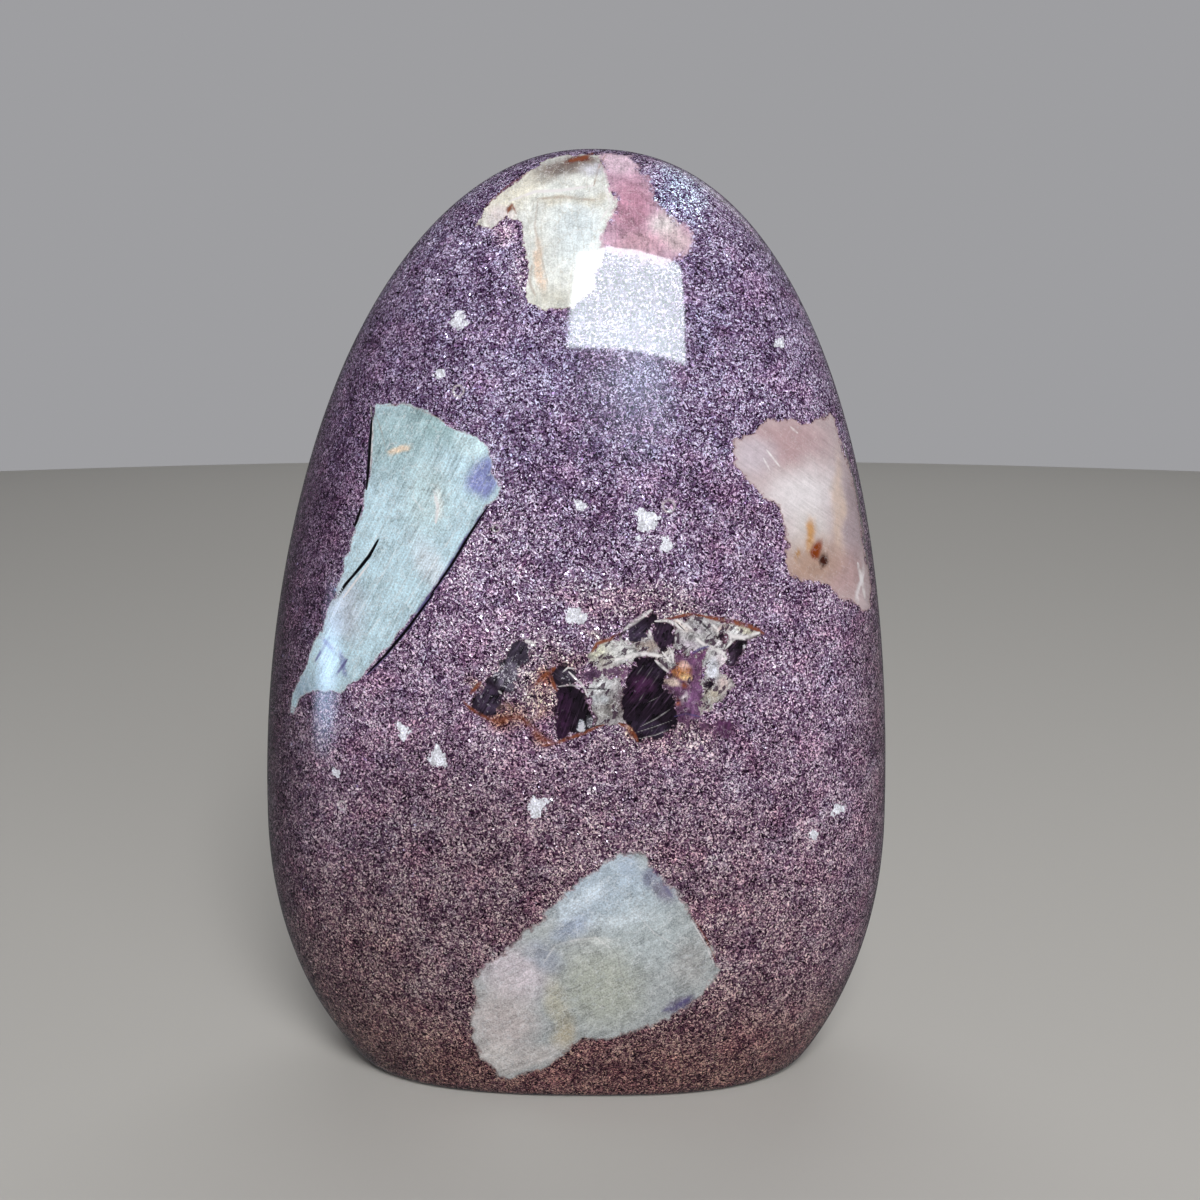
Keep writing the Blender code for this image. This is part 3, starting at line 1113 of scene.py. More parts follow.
def along_grain(graph: Graph, given: bpy.types.NodeInputs) -> Socket:
    """Place measured along and across the grain, from a group's Vector, Turn, Width and Length."""
    turn = graph.joined(0.0, given["Turn"], 0.0)
    size = graph.joined(given["Width"], given["Length"], given["Length"])
    mapping = {"Vector": given["Vector"], "Rotation": turn, "Scale": size}
    return graph.node("Mapping", mapping, vector_type="TEXTURE").outputs[0]


def streak_group() -> bpy.types.ShaderNodeTree:
    """Noise drawn out along one direction of the face, such as cleavage lines or striations."""
    inputs = {"Vector": ORIGIN, "Turn": 0.0, "Width": 0.0005, "Length": 0.01}
    graph, given, result = new_group("Streaks", inputs, ("Value",))
    graph.feed_all(result, {"Value": graph.noise(along_grain(graph, given), 1.0, 3.0, 0.65).outputs[0]})
    return graph.tree


def block_group() -> bpy.types.ShaderNodeTree:
    """Angular blocks of crystal, each with its own tone, and the fine cracks between them."""
    graph, given, result = new_group(
        "Crystal blocks",
        {"Vector": ORIGIN, "Turn": 0.0, "Width": 0.001, "Length": 0.003, "Crack Width": 0.05},
        ("Tone", "Crack"),
    )
    local = graph.node("SeparateXYZ", {0: along_grain(graph, given)}).outputs
    local = graph.joined(local[0], local[2], 0.0)
    bent = graph.noise(local, 1.3, 2.0, 0.6)
    bent.noise_dimensions = "2D"
    local = graph.vector("MULTIPLY_ADD", bent.outputs["Color"], (1.1, 1.1, 0.0), local)
    flat = {"voronoi_dimensions": "2D"}
    cells = graph.node("TexVoronoi", {"Vector": local, "Scale": 1.0}, **flat)
    edge = graph.node("TexVoronoi", {"Vector": local, "Scale": 1.0}, feature="DISTANCE_TO_EDGE", **flat)
    tone = graph.node("SeparateColor", {0: cells.outputs["Color"]}).outputs[0]
    crack = graph.ramp_up(edge.outputs["Distance"], given["Crack Width"], 0.0)
    graph.feed_all(result, {"Tone": tone, "Crack": crack})
    return graph.tree


@dataclass
class Layer:
    """What one finish gives to the shader.

    Attributes:
        colour: its base colour.
        roughness: how rough it is under the polish.
        metallic: how much it glints like metal.
        facets: how much the flakes' tilted faces show.
    """

    colour: object
    roughness: object
    metallic: object
    facets: object


@dataclass
class Textures:
    """Textures that the finishes share, each worked out once.

    Attributes:
        graph: the tree that they are in.
        flakes: node with the lightness, tint, glint and height of small flat grains.
        drift: slow change over some millimetres.
        mottle: cloudy change with fine detail.
        fine: change from one tenth of a millimetre to the next.
        streaks: lines along each mineral's own grain.
        veins: 1 along a net of thin wandering lines.
        blocks: node with the tone of crystal blocks of some millimetres and the cracks between them.
        grit: the same for blocks under a millimetre.
        marks: 1 in rare dark stretched marks.
    """

    graph: Graph
    flakes: bpy.types.ShaderNode
    drift: bpy.types.ShaderNode
    mottle: Socket
    fine: Socket
    streaks: Socket
    veins: Socket
    blocks: bpy.types.ShaderNode
    grit: bpy.types.ShaderNode
    marks: Socket

    def shaded(self, colour: object, *changes: tuple[object, float]) -> Socket:
        """Colour made lighter or darker.

        Args:
            colour: the colour.
            changes: values about one half, each with how strongly it counts.

        Returns:
            The colour times 1 plus each strength times its value less one half.
        """
        total: object = 1.0 - 0.5 * sum(strength for _, strength in changes)
        for value, strength in changes:
            total = self.graph.math("MULTIPLY_ADD", value, strength, total)
        return self.graph.scaled(colour, self.graph.math("MAXIMUM", total, 0.0))

    def over(self, mask: Socket, lower: Layer, upper: Layer) -> Layer:
        """Upper layer laid over the lower one where the mask is 1."""
        g = self.graph
        return Layer(
            g.mix(mask, lower.colour, upper.colour),
            g.mix_values(mask, lower.roughness, upper.roughness),
            g.mix_values(mask, lower.metallic, upper.metallic),
            g.mix_values(mask, lower.facets, upper.facets),
        )


def shared_textures(graph: Graph, place: Socket, flake_size: float) -> Textures:
    """Build the textures that the finishes share.

    Args:
        graph: the tree that they go into.
        place: the Object coordinates.
        flake_size: width of the mica's flakes.

    Returns:
        The textures.
    """
    domain = graph.noise(place, 1100.0, 1.0, 0.5)
    steps = {0: domain.outputs[0], 1: 0.35, 2: 0.65, 3: -2.4, 4: 2.4, 5: 4.0}
    turn = graph.node("MapRange", steps, interpolation_type="STEPPED").outputs[0]
    flakes = graph.group(
        flake_group(), Vector=place, Grain_Size=flake_size, Stretch=1.8, Turn=turn, Tilt=0.9
    )
    grain = graph.attribute("grain_turn")
    streaks = streak_group()
    lines = graph.group(streaks, Vector=place, Turn=grain, Width=0.00026, Length=0.005)
    marks = graph.group(streaks, Vector=place, Turn=turn, Width=0.0004, Length=0.0012).outputs[0]
    blocks = block_group()
    net = graph.noise(place, 520.0, 3.0, 0.6).outputs[0]
    return Textures(
        graph,
        flakes,
        graph.noise(place, 210.0, 3.0, 0.6),
        graph.noise(place, 700.0, 5.0, 0.62).outputs[0],
        graph.noise(place, 4200.0, 1.0, 0.5).outputs[0],
        lines.outputs[0],
        graph.remap(graph.math("ABSOLUTE", graph.math("SUBTRACT", net, 0.5)), 0.016, 0.003),
        graph.group(blocks, Vector=place, Turn=grain, Width=0.0016, Length=0.0034, Crack_Width=0.045),
        graph.group(blocks, Vector=place, Turn=grain, Width=0.0004, Length=0.0008, Crack_Width=0.1),
        graph.remap(marks, 0.64, 0.70),
    )


class Finish(Protocol):
    """Anything that can turn a mineral's colour on the mesh into a layer."""

    def layer(self, textures: Textures, tint: Socket) -> Layer:
        """Build the mineral's nodes.

        Args:
            textures: the textures that the finishes share.
            tint: the colour that the mesh holds for this mineral.

        Returns:
            The mineral's layer.
        """


@dataclass(frozen=True)
class MicaFinish:
    """Fine purple mica: tiny flakes from near black to silver under polish, bunched and drifting in tone.

    Attributes:
        flake_size: width of a flake.
        contrast: how far the flakes spread from the darkest to the brightest stop.
        clump: how much the flakes bunch into lighter and darker clumps.
        drift: how much the stone lightens or darkens over some millimetres.
        stops: shares of the main colour, from the darkest flake to the brightest, the top ones painted
            sparkle.
    """

    flake_size: float = 0.00018
    contrast: float = 1.55
    clump: float = 0.85
    drift: float = 0.85
    stops: tuple[tuple[float, Colour], ...] = (
        (0.00, (0.04, 0.012, 0.045, 1.0)),
        (0.19, (0.11, 0.035, 0.12, 1.0)),
        (0.28, (0.28, 0.145, 0.29, 1.0)),
        (0.38, (0.56, 0.42, 0.58, 1.0)),
        (0.50, (0.90, 0.87, 0.90, 1.0)),
        (0.62, (1.42, 1.52, 1.42, 1.0)),
        # The top stops paint the brightest flakes near white. This is painted sparkle: glints of flakes
        # catching the light, beside the flakes' own light and dark tones.
        (0.72, (2.25, 2.75, 2.22, 1.0)),
        (0.81, (3.70, 5.10, 3.65, 1.0)),
        (1.00, (5.30, 8.00, 5.10, 1.0)),
    )

    def layer(self, textures: Textures, tint: Socket) -> Layer:
        """Build the mica's nodes, as in Finish."""
        g = textures.graph
        light, hue, glint = (textures.flakes.outputs[name] for name in ("Lightness", "Tint", "Glint"))
        slow, warm, cool = g.node("SeparateColor", {0: textures.drift.outputs["Color"]}).outputs
        total = g.math("MULTIPLY_ADD", textures.mottle, self.clump, -0.5 * self.clump)
        total = g.math("MULTIPLY_ADD", slow, self.drift, g.math("SUBTRACT", total, 0.5 * self.drift))
        light = g.math("MULTIPLY_ADD", light, self.contrast, 0.5 - 0.5 * self.contrast)
        total = g.math("SUBTRACT", g.math("ADD", light, total), g.math("MULTIPLY", textures.marks, 0.6))
        # The ramp's top stops paint sparkle, glints of flakes catching the light, into the colour.
        shade = g.ramp(g.math("MULTIPLY_ADD", total, 0.625, 0.1875), self.stops)
        colour = g.mix(1.0, tint, shade, "MULTIPLY")
        changes = (
            (warm, 0.50, 0.66, (1.06, 0.93, 0.98, 1.0)),
            (cool, 0.50, 0.66, (0.95, 1.0, 1.03, 1.0)),
            (hue, 0.70, 0.90, (1.07, 0.95, 0.99, 1.0)),
            (hue, 0.30, 0.10, (0.95, 1.0, 1.04, 1.0)),
        )
        for value, low, high, change in changes:
            colour = g.mix(g.remap(value, low, high), colour, change, "MULTIPLY")
        roughness = g.remap(glint, 0.0, 1.0, 0.5, 0.25)
        metallic = g.remap(glint, 0.80, 1.0, 0.0, 0.6)
        return Layer(colour, roughness, metallic, 1.0)


@dataclass(frozen=True)
class PaleFinish:
    """Pale polished mineral with cloudy grain, crystal blocks, cleavage lines, cracks and veins.

    Attributes:
        mottle: how much its cloudy grain lightens or darkens it.
        fine: how much its finest grain does.
        streak: how much its cleavage lines do.
        block: how much its crystal blocks do.
        crack: how much the cracks between its blocks show.
        crack_colour: the colour of those cracks.
        vein: how much its veins show.
        vein_colour: the colour of its veins.
        sugar: how much the mica's flakes show through it.
        gritty: whether its blocks are under a millimetre.
        chips: share of its blocks that are dark crystal.
        chip_colour: the colour of those.
        roughness: how rough it is under the polish.
    """

    mottle: float = 0.9
    fine: float = 0.6
    streak: float = 0.8
    block: float = 0.2
    crack: float = 0.2
    crack_colour: Colour = srgb(150, 150, 150)
    vein: float = 0.2
    vein_colour: Colour = srgb(245, 246, 248)
    sugar: float = 0.0
    gritty: bool = False
    chips: float = 0.0
    chip_colour: Colour = srgb(64, 42, 62)
    roughness: float = 0.3

    def layer(self, textures: Textures, tint: Socket) -> Layer:
        """Build the mineral's nodes, as in Finish."""
        g = textures.graph
        blocks = textures.grit if self.gritty else textures.blocks
        changes = [
            (textures.mottle, self.mottle),
            (textures.fine, self.fine),
            (textures.streaks, self.streak),
            (blocks.outputs["Tone"], self.block),
        ]
        if self.sugar:
            changes.append((textures.flakes.outputs["Lightness"], self.sugar))
        colour = textures.shaded(tint, *changes)
        if self.crack:
            cracks = g.math("MULTIPLY", blocks.outputs["Crack"], self.crack)
            colour = g.mix(cracks, colour, self.crack_colour)
        if self.chips:
            chips = g.remap(blocks.outputs["Tone"], self.chips, self.chips - 0.04)
            colour = g.mix(g.math("MULTIPLY", chips, 0.85), colour, self.chip_colour)
        if self.vein:
            colour = g.mix(g.math("MULTIPLY", textures.veins, self.vein), colour, self.vein_colour)
        return Layer(colour, self.roughness, 0.0, 0.15 + 0.5 * self.sugar)


@dataclass(frozen=True)
class PrismFinish:
    """Near-black purple prism crystals with fine lines along them and pale grit."""

    line: Colour = srgb(124, 98, 128)
    dust: Colour = srgb(206, 204, 214)

    def layer(self, textures: Textures, tint: Socket) -> Layer:
        """Build the crystal's nodes, as in Finish."""
        g = textures.graph
        tone = (textures.grit.outputs["Tone"], 0.9)
        colour = textures.shaded(tint, (textures.mottle, 2.6), (textures.streaks, 3.0), tone)
        lines = g.math("MULTIPLY", g.remap(textures.streaks, 0.60, 0.72), 0.28)
        colour = g.mix(lines, colour, self.line)
        pale = g.node("SeparateColor", {0: tint}).outputs[1]
        grit = g.remap(g.math("MULTIPLY_ADD", pale, 3.0, textures.flakes.outputs["Lightness"]), 1.0, 1.15)
        colour = g.mix(g.math("MULTIPLY", grit, 0.85), colour, self.dust)
        return Layer(colour, 0.35, 0.0, 0.3)


@dataclass(frozen=True)
class MineralCoat:
    """Finish of one mineral, with how its edge meets its neighbours."""

    mineral: Mineral
    colouring: Colouring
    finish: Finish
    raggedness: float = 0.12
    rim_colour: Colour = srgb(150, 120, 120)
    rim_width: float = 0.14
    rim_strength: float = 0.35
    softness: float = 0.08


MICA_COLOURING_WITH_PAINTED_SHADE = Colouring(srgb(122, 94, 125), clouds=(
    Cloud((0, -20, 118), (50, 60, 34), srgb(113, 91, 127), 0.9),
    # The next two clouds make the lower part redder, which is the mica's own tone, and darker towards the
    # foot, which is painted shade where the surface turns under, away from the lights.
    Cloud((0, -20, 8), (60, 60, 42), srgb(111, 82, 97), 0.9),
    Cloud((0, -20, 0), (60, 60, 16), srgb(94, 60, 63)),
    Cloud((-6, -23, 67.5), (5.5, 8, 5), srgb(136, 110, 127), 0.7),
    Cloud((9, -23, 76), (11, 8, 2.6), srgb(134, 108, 128), 0.7, -6),
    Cloud((12, -23, 57), (8, 8, 2.4), srgb(130, 104, 122), 0.6),
    Cloud((-8.8, -23.9, 60.4), (3, 5, 1.9), srgb(118, 82, 84), 0.7, 10),
    Cloud((-10.2, -23.9, 59.4), (1.2, 5, 0.9), srgb(112, 68, 60), 0.7),
    Cloud((-4.5, -24.2, 57.2), (1.3, 5, 1.3), srgb(110, 72, 74), 0.7, 20),
    Cloud((-4.6, -23.8, 63.4), (1.8, 5, 2.4), srgb(136, 104, 112), 0.8, 20),
    Cloud((-4, -23.9, 65.8), (1.4, 5, 0.7), srgb(118, 66, 52), 0.8, -45, 0.5),
    Cloud((-13.6, -23.6, 64.6), (1.6, 5, 0.8), srgb(124, 90, 94), 0.6, -40, 0.5),
    Cloud((-1, -23.9, 68.6), (3, 5, 1), srgb(134, 102, 110), 0.6),
    Cloud((3.8, -23.8, 71.5), (2.4, 5, 0.6), srgb(130, 104, 112), 0.6, -25, 0.5),
    Cloud((14.6, -23.2, 75), (3.4, 5, 0.8), srgb(134, 106, 122), 0.6),
    Cloud((8.2, -24.2, 58.3), (1, 5, 0.9), srgb(132, 90, 76), 0.8, 30, 0.5),
    Cloud((15.8, -23.5, 58.9), (2.2, 5, 0.9), srgb(114, 84, 102), 0.7),
    Cloud((21, -23.3, 58.3), (1.7, 5, 1.7), srgb(72, 42, 72), 0.9, 0, 0.5),
    Cloud((1, -24, 71), (1.2, 5, 0.8), srgb(104, 72, 100)),
    Cloud((-9.6, -9.5, 127.4), (2, 6, 1.6), srgb(156, 120, 150), 0.6),
    Cloud((-6.6, -12, 122), (1.6, 6, 3), srgb(150, 122, 150), 0.6),
    Cloud((14.5, -8, 132.5), (4, 8, 4.5), srgb(158, 150, 190), 0.8, 30),
    Cloud((29.9, -22, 61.1), (1.6, 5, 0.9), srgb(176, 138, 172), 0.8, 40),
    Cloud((-27, -20, 25.7), (2.6, 5, 1.4), srgb(160, 122, 134), 0.7),
    Cloud((-12, -22, 80), (9, 9, 12), srgb(138, 110, 142), 0.65, 20),
    Cloud((24, -20, 84), (6, 9, 9), srgb(116, 88, 120), 0.6),
    # The next six clouds darken the left side, the lower left and the right side. This is painted shade
    # where the surface turns away from the lights, over a browner tone of the mica's own at the lower left.
    Cloud((-40, -12, 84), (9, 16, 30), srgb(76, 52, 79), 0.9, -12),
    Cloud((-44, -6, 44), (10, 16, 28), srgb(70, 48, 66), 0.85),
    Cloud((-29, -12, 107), (12, 16, 15), srgb(92, 68, 100), 0.7),
    Cloud((-20, -21, 34), (16, 12, 18), srgb(92, 69, 84), 0.55),
    Cloud((-33, -15, 18), (12, 14, 16), srgb(86, 60, 68), 0.6),
    Cloud((47, -6, 60), (7, 14, 46), srgb(102, 75, 97)),
    Cloud((-32, 14, 72), (12, 14, 24), srgb(88, 64, 94), 0.6),
    Cloud((34, 14, 96), (10, 14, 22), srgb(86, 60, 88), 0.6),
    Cloud((12, 22, 54), (14, 10, 7), srgb(138, 110, 136), 0.55),
    Cloud((-9, 24, 30), (10, 8, 5), srgb(122, 86, 90), 0.6),
    Cloud((-2, 18, 108), (12, 12, 9), srgb(134, 108, 142), 0.5),
))

BLADE_COLOURING = Colouring(srgb(182, 207, 219), clouds=(
    Cloud((-24, -16, 99), (7, 9, 5), srgb(158, 184, 190), 0.8, 20),
    Cloud((-18, -17.5, 101), (5, 9, 2.6), srgb(150, 178, 182), 0.7, -25),
    Cloud((-14.5, -18.5, 98.2), (2.6, 8, 1.6), srgb(196, 220, 228), 0.9, -20, 0.3),
    Cloud((-24.2, -16.7, 97), (1.5, 6, 0.65), srgb(226, 208, 188), 1, 8, 0.35),
    Cloud((-12.5, -19.7, 93.6), (2, 8, 3), srgb(130, 136, 190), 0.95, -24, 0.3),
    Cloud((-19, -19.4, 89.7), (0.5, 5, 2), srgb(245, 248, 250), 0.9, 5, 0.4),
    Cloud((-20.5, -18.5, 90.5), (3.4, 8, 4.4), srgb(192, 212, 214), 0.5),
    Cloud((-33, -17.5, 74.5), (3.2, 8, 4), srgb(186, 192, 206), 0.8, 25),
    Cloud((-19.5, -20.5, 80.5), (1.8, 8, 5), srgb(206, 214, 224), 0.7, 35),
    Cloud((-35.5, -17, 68.8), (0.45, 5, 1.6), srgb(118, 124, 172), 0.8, 40, 0.4),
    Cloud((-33, -18.8, 66.4), (0.5, 5, 1.5), srgb(118, 124, 172), 0.8, 20, 0.4),
    Cloud((-39.5, -14.5, 62.2), (2.4, 6, 2.2), srgb(120, 138, 158), 0.7, 40),
    Cloud((16, 21, 95), (5, 8, 3), srgb(152, 180, 186), 0.8, -20),
    Cloud((22, 21, 93), (1.8, 6, 3), srgb(132, 138, 190), 0.9, 10, 0.4),
    Cloud((11, 23, 75), (2, 8, 5), srgb(208, 216, 228), 0.7, -20),
    Cloud((7.2, 24, 66), (1.4, 6, 2.6), srgb(120, 130, 168), 0.8, -20),
))

BLADE_FINISH = PaleFinish(
    mottle=0.7, fine=1.2, streak=1.3, block=0.24, crack=0.3, crack_colour=srgb(216, 232, 240), vein=0.3,
    roughness=0.25,
)

QUARTZ_COLOURING = Colouring(srgb(192, 175, 179), clouds=(
    Cloud((29.5, -16.4, 98), (6.5, 8, 3), srgb(175, 147, 151), 0.9),
    Cloud((25, -18, 96), (3, 8, 2.4), srgb(196, 186, 196)),
    Cloud((32.5, -16.4, 90.6), (5.6, 8, 3.4), srgb(220, 214, 218), 1, 12, 0.7),
    Cloud((33, -16.8, 85.2), (3.4, 8, 3.6), srgb(206, 200, 200), 0.9),
    Cloud((37.9, -13.4, 87.5), (1, 8, 8), srgb(206, 184, 170), 0.75),
    Cloud((40.6, -11.8, 85.5), (1.6, 8, 7.4), srgb(166, 150, 156), 0.95, 2, 0.4),
    Cloud((39.2, -14.6, 78.6), (3.4, 8, 3.6), srgb(178, 148, 148)),
    Cloud((33.6, -17.6, 81), (4.4, 8, 3.4), srgb(168, 138, 122), 0.9, 0, 0.7),
    Cloud((41.7, -12, 77.2), (0.35, 4, 2.6), srgb(228, 222, 226), 0.9, -16, 0.5),
    Cloud((33.4, -17, 85.2), (0.7, 4, 1.9), srgb(190, 138, 74), 0.85),
    Cloud((34.4, -16.9, 82.9), (0.7, 4, 1.1), srgb(128, 58, 24), 1, -20, 0.4),
    Cloud((35.3, -16.7, 81.4), (0.8, 4, 0.8), srgb(66, 32, 24), 1, 0, 0.35),
    Cloud((31.7, -18.2, 83), (0.22, 4, 0.9), srgb(168, 124, 72), 0.8, -30, 0.5),
    Cloud((24, 22, 44), (7, 8, 3), srgb(178, 150, 154), 0.9),
    Cloud((23, 23, 36), (6, 8, 4), srgb(220, 214, 218), 0.9, 20),
    Cloud((30, 21, 31.5), (3, 8, 3.4), srgb(168, 136, 118), 0.9),
    Cloud((29, 22, 37.5), (0.9, 4, 1.8), srgb(146, 78, 36), 0.85, 20, 0.5),
))

QUARTZ_FINISH = PaleFinish(
    mottle=0.5, fine=0.25, streak=0.5, block=0.05, crack=0.0, vein=0.12, roughness=0.2
)

CLAST_COLOURING = Colouring(srgb(164, 169, 171), clouds=(
    Cloud((5, -25, 35), (8.5, 8, 5), srgb(176, 191, 206), 0.9),
    Cloud((10, -24.6, 29), (6, 8, 5), srgb(178, 188, 192), 0.7),
    Cloud((3.6, -24.3, 20), (5.6, 8, 6), srgb(172, 176, 166), 0.9),
    Cloud((-9, -24, 22.5), (5, 8, 4), srgb(202, 192, 200), 0.9, -30),
    Cloud((-10.5, -23, 13.5), (4.6, 8, 6.5), srgb(194, 184, 184), 0.9),
    Cloud((-4.3, -24.5, 25), (2.6, 8, 1.8), srgb(154, 160, 174), 0.8, -40),
    Cloud((-0.7, -24.9, 29.6), (3, 8, 1.6), srgb(156, 168, 192), 0.7, 30),
    Cloud((-2.6, -23.7, 17), (1.4, 6, 4.4), srgb(186, 182, 164), 0.7, 10),
    Cloud((-1.6, -22.8, 12), (1.6, 6, 2.4), srgb(176, 166, 144)),
    Cloud((10.7, -24.9, 37.2), (1.2, 6, 1.6), srgb(112, 112, 138), 0.8, -20),
    Cloud((12.8, -24.8, 34.9), (1.8, 6, 1.2), srgb(112, 104, 126), 0.8, -35),
    Cloud((15.5, -23.2, 16.9), (2.2, 6, 1.1), srgb(94, 84, 112), 0.9, 25),
    Cloud((-6.5, -22, 7.6), (5, 6, 1.6), srgb(206, 198, 196), 0.7, 30),
    Cloud((1, -24.9, 33.6), (4.2, 6, 1.3), srgb(208, 220, 232), 0.8, 40, 0.5),
    Cloud((6.6, -24.8, 30.8), (4, 6, 0.9), srgb(206, 216, 224), 0.7, 10),
    Cloud((3.2, -24.5, 27.6), (2.4, 6, 0.6), srgb(204, 208, 206), 0.7),
    Cloud((16.6, -23.9, 23.6), (2.6, 6, 3.6), srgb(158, 158, 158)),
    Cloud((7.4, -25, 38.8), (1.6, 6, 1.6), srgb(158, 172, 190), 0.7),
    Cloud((-12, -22.4, 7.2), (2.6, 6, 3), srgb(206, 200, 198), 0.7),
    Cloud((-17, 24, 93), (7, 8, 4), srgb(182, 198, 212), 0.9),
    Cloud((-12, 24, 80), (4, 8, 5), srgb(188, 180, 166), 0.8, 20),
    Cloud((-22, 23, 79), (3.5, 8, 4.5), srgb(204, 192, 200), 0.9),
    Cloud((-8, 23, 91.5), (2.4, 6, 1.6), srgb(112, 106, 134), 0.8, 30),
    Cloud((-17, 24, 86.5), (6, 6, 1.1), srgb(208, 216, 224), 0.8, 20, 0.5),
))

CLAST_FINISH = PaleFinish(
    mottle=1.0, fine=1.2, streak=0.7, block=0.24, crack=0.3, crack_colour=srgb(206, 214, 222), vein=0.3,
    roughness=0.32,
)

CREAM_COLOURING = Colouring(srgb(222, 225, 222), clouds=(
    Cloud((-9, -6.5, 132.5), (6, 8, 2.2), srgb(226, 222, 208), 0.9, 35),
    Cloud((-1, -5.2, 136.6), (5, 8, 1.7), srgb(122, 108, 104), 0.95, 12),
    Cloud((0.6, -4.2, 137.8), (1.6, 6, 0.6), srgb(96, 44, 36), 0.95, 10, 0.5),
    Cloud((2.6, -5.8, 135.9), (1.4, 6, 1), srgb(196, 196, 206), 0.9),
    Cloud((0, -8.9, 131.8), (4.6, 6, 0.8), srgb(198, 190, 172), 0.8, 4, 0.5),
    Cloud((0.5, -11, 127.4), (3.4, 8, 4.6), srgb(214, 225, 231)),
    Cloud((-4.7, -13.3, 121.6), (0.6, 6, 4), srgb(228, 200, 176), 0.8, 5),
    Cloud((-3.7, -15.1, 117.4), (4.2, 6, 2.2), srgb(196, 195, 186), 0.9),
    Cloud((-10.6, -8.4, 129.4), (1.9, 6, 1.6), srgb(220, 208, 212)),
    Cloud((-9.2, -7.8, 130.6), (0.45, 4, 0.7), srgb(110, 60, 44), 0.9, -25, 0.5),
    Cloud((9, 9, 136.5), (5, 8, 2.2), srgb(128, 114, 110), 0.85),
    Cloud((6, 13, 127.5), (4, 8, 2.4), srgb(196, 192, 180)),
    Cloud((13, 11, 130.5), (2.2, 6, 3), srgb(226, 204, 188)),
))

CREAM_FINISH = PaleFinish(
    mottle=1.1, fine=0.8, streak=0.5, crack=0.4, crack_colour=srgb(186, 176, 160), vein=0.4
)

ROSE_COLOURING = Colouring(srgb(188, 154, 174), clouds=(
    Cloud((6.2, -4.6, 137.6), (3.2, 6, 2), srgb(220, 196, 212), 0.9),
    Cloud((8, -9.6, 130.6), (2.6, 6, 4.4), srgb(172, 124, 144)),
    Cloud((12.9, -10.4, 128), (2.2, 6, 1.7), srgb(222, 214, 216), 0.95, -20),
    Cloud((14.6, -11.6, 126), (2.2, 6, 1.4), srgb(206, 186, 190), 0.8, -30),
    Cloud((9.4, -12, 125.4), (3.4, 6, 1.4), srgb(196, 156, 168), 0.7),
))

ROSE_FINISH = PaleFinish(
    mottle=1.8, fine=0.6, block=0.35, crack=0.35, crack_colour=srgb(142, 96, 122), vein=0.4,
    vein_colour=srgb(228, 200, 214), sugar=0.35,
)

GREY_QUARTZ_COLOURING = Colouring(srgb(158, 155, 158), clouds=(
    Cloud((3.6, -23.8, 69.2), (1.9, 5, 1.6), srgb(196, 196, 176), 0.9),
    Cloud((6.6, -23.7, 69.6), (2, 5, 1.6), srgb(198, 198, 198), 0.9),
    Cloud((4, -23.9, 67.8), (1.4, 5, 0.6), srgb(150, 144, 140)),
    Cloud((10.2, -23.6, 70.7), (1.5, 5, 0.8), srgb(142, 130, 124), 0.95, 0, 0.4),
    Cloud((12.4, -23.5, 69.2), (1.2, 5, 0.8), srgb(186, 182, 180), 0.9),
    Cloud((3.9, -24.1, 65.2), (1.4, 5, 0.6), srgb(206, 208, 212), 0.9),
    Cloud((2.8, -24.2, 63), (0.9, 5, 1.2), srgb(174, 178, 184), 0.9),
    Cloud((4.6, -24.2, 63.2), (0.8, 5, 0.8), srgb(176, 182, 188), 0.9),
    Cloud((5.8, -24.2, 61.6), (1.6, 5, 1.8), srgb(104, 97, 96), 0.95),
    Cloud((3.6, -24.2, 60.6), (1.2, 5, 1), srgb(136, 134, 132), 0.9),
    Cloud((7, -24.2, 63.4), (0.6, 5, 2), srgb(104, 88, 100), 0.85),
    Cloud((15, -23.2, 73.6), (1.6, 5, 0.6), srgb(206, 196, 192), 0.9, -20),
    Cloud((17.4, -23.1, 73.4), (1.3, 5, 0.7), srgb(158, 152, 160)),
    Cloud((15.6, -23.3, 70.4), (1.6, 5, 0.8), srgb(170, 160, 172)),
    Cloud((20.6, -22.8, 72.8), (1.1, 5, 0.5), srgb(180, 160, 158), 0.9, -12),
    Cloud((22.4, -22.6, 71.8), (0.9, 5, 0.8), srgb(232, 232, 234), 0.95),
    Cloud((24.4, -22.2, 71.8), (1.4, 5, 0.6), srgb(198, 194, 176), 0.95, -12),
    Cloud((19.6, -22.9, 70.6), (0.9, 5, 0.7), srgb(200, 194, 200), 0.9),
    Cloud((20.3, -22.9, 68.6), (1, 5, 1.1), srgb(218, 206, 214), 0.95),
    Cloud((18.9, -23.1, 67), (0.8, 5, 1.5), srgb(206, 208, 220), 0.95),
    Cloud((20.8, -22.9, 64.8), (1, 5, 1.3), srgb(180, 162, 160), 0.9, -20),
    Cloud((19.2, -23.1, 62.9), (1.1, 5, 1), srgb(158, 150, 136), 0.9),
    Cloud((18.4, -23.2, 61.4), (0.7, 5, 0.9), srgb(170, 162, 160), 0.9),
    Cloud((-4, 24, 38), (2, 5, 2.4), srgb(204, 204, 200), 0.9),
    Cloud((-7.5, 24, 33), (1.4, 5, 1.6), srgb(124, 114, 116), 0.9),
))

GREY_QUARTZ_FINISH = PaleFinish(
    mottle=2.4, fine=1.4, streak=1.2, block=0.7, crack=0.3, crack_colour=srgb(96, 82, 92), vein=0.45,
    sugar=0.3, gritty=True, chips=0.22, roughness=0.35,
)

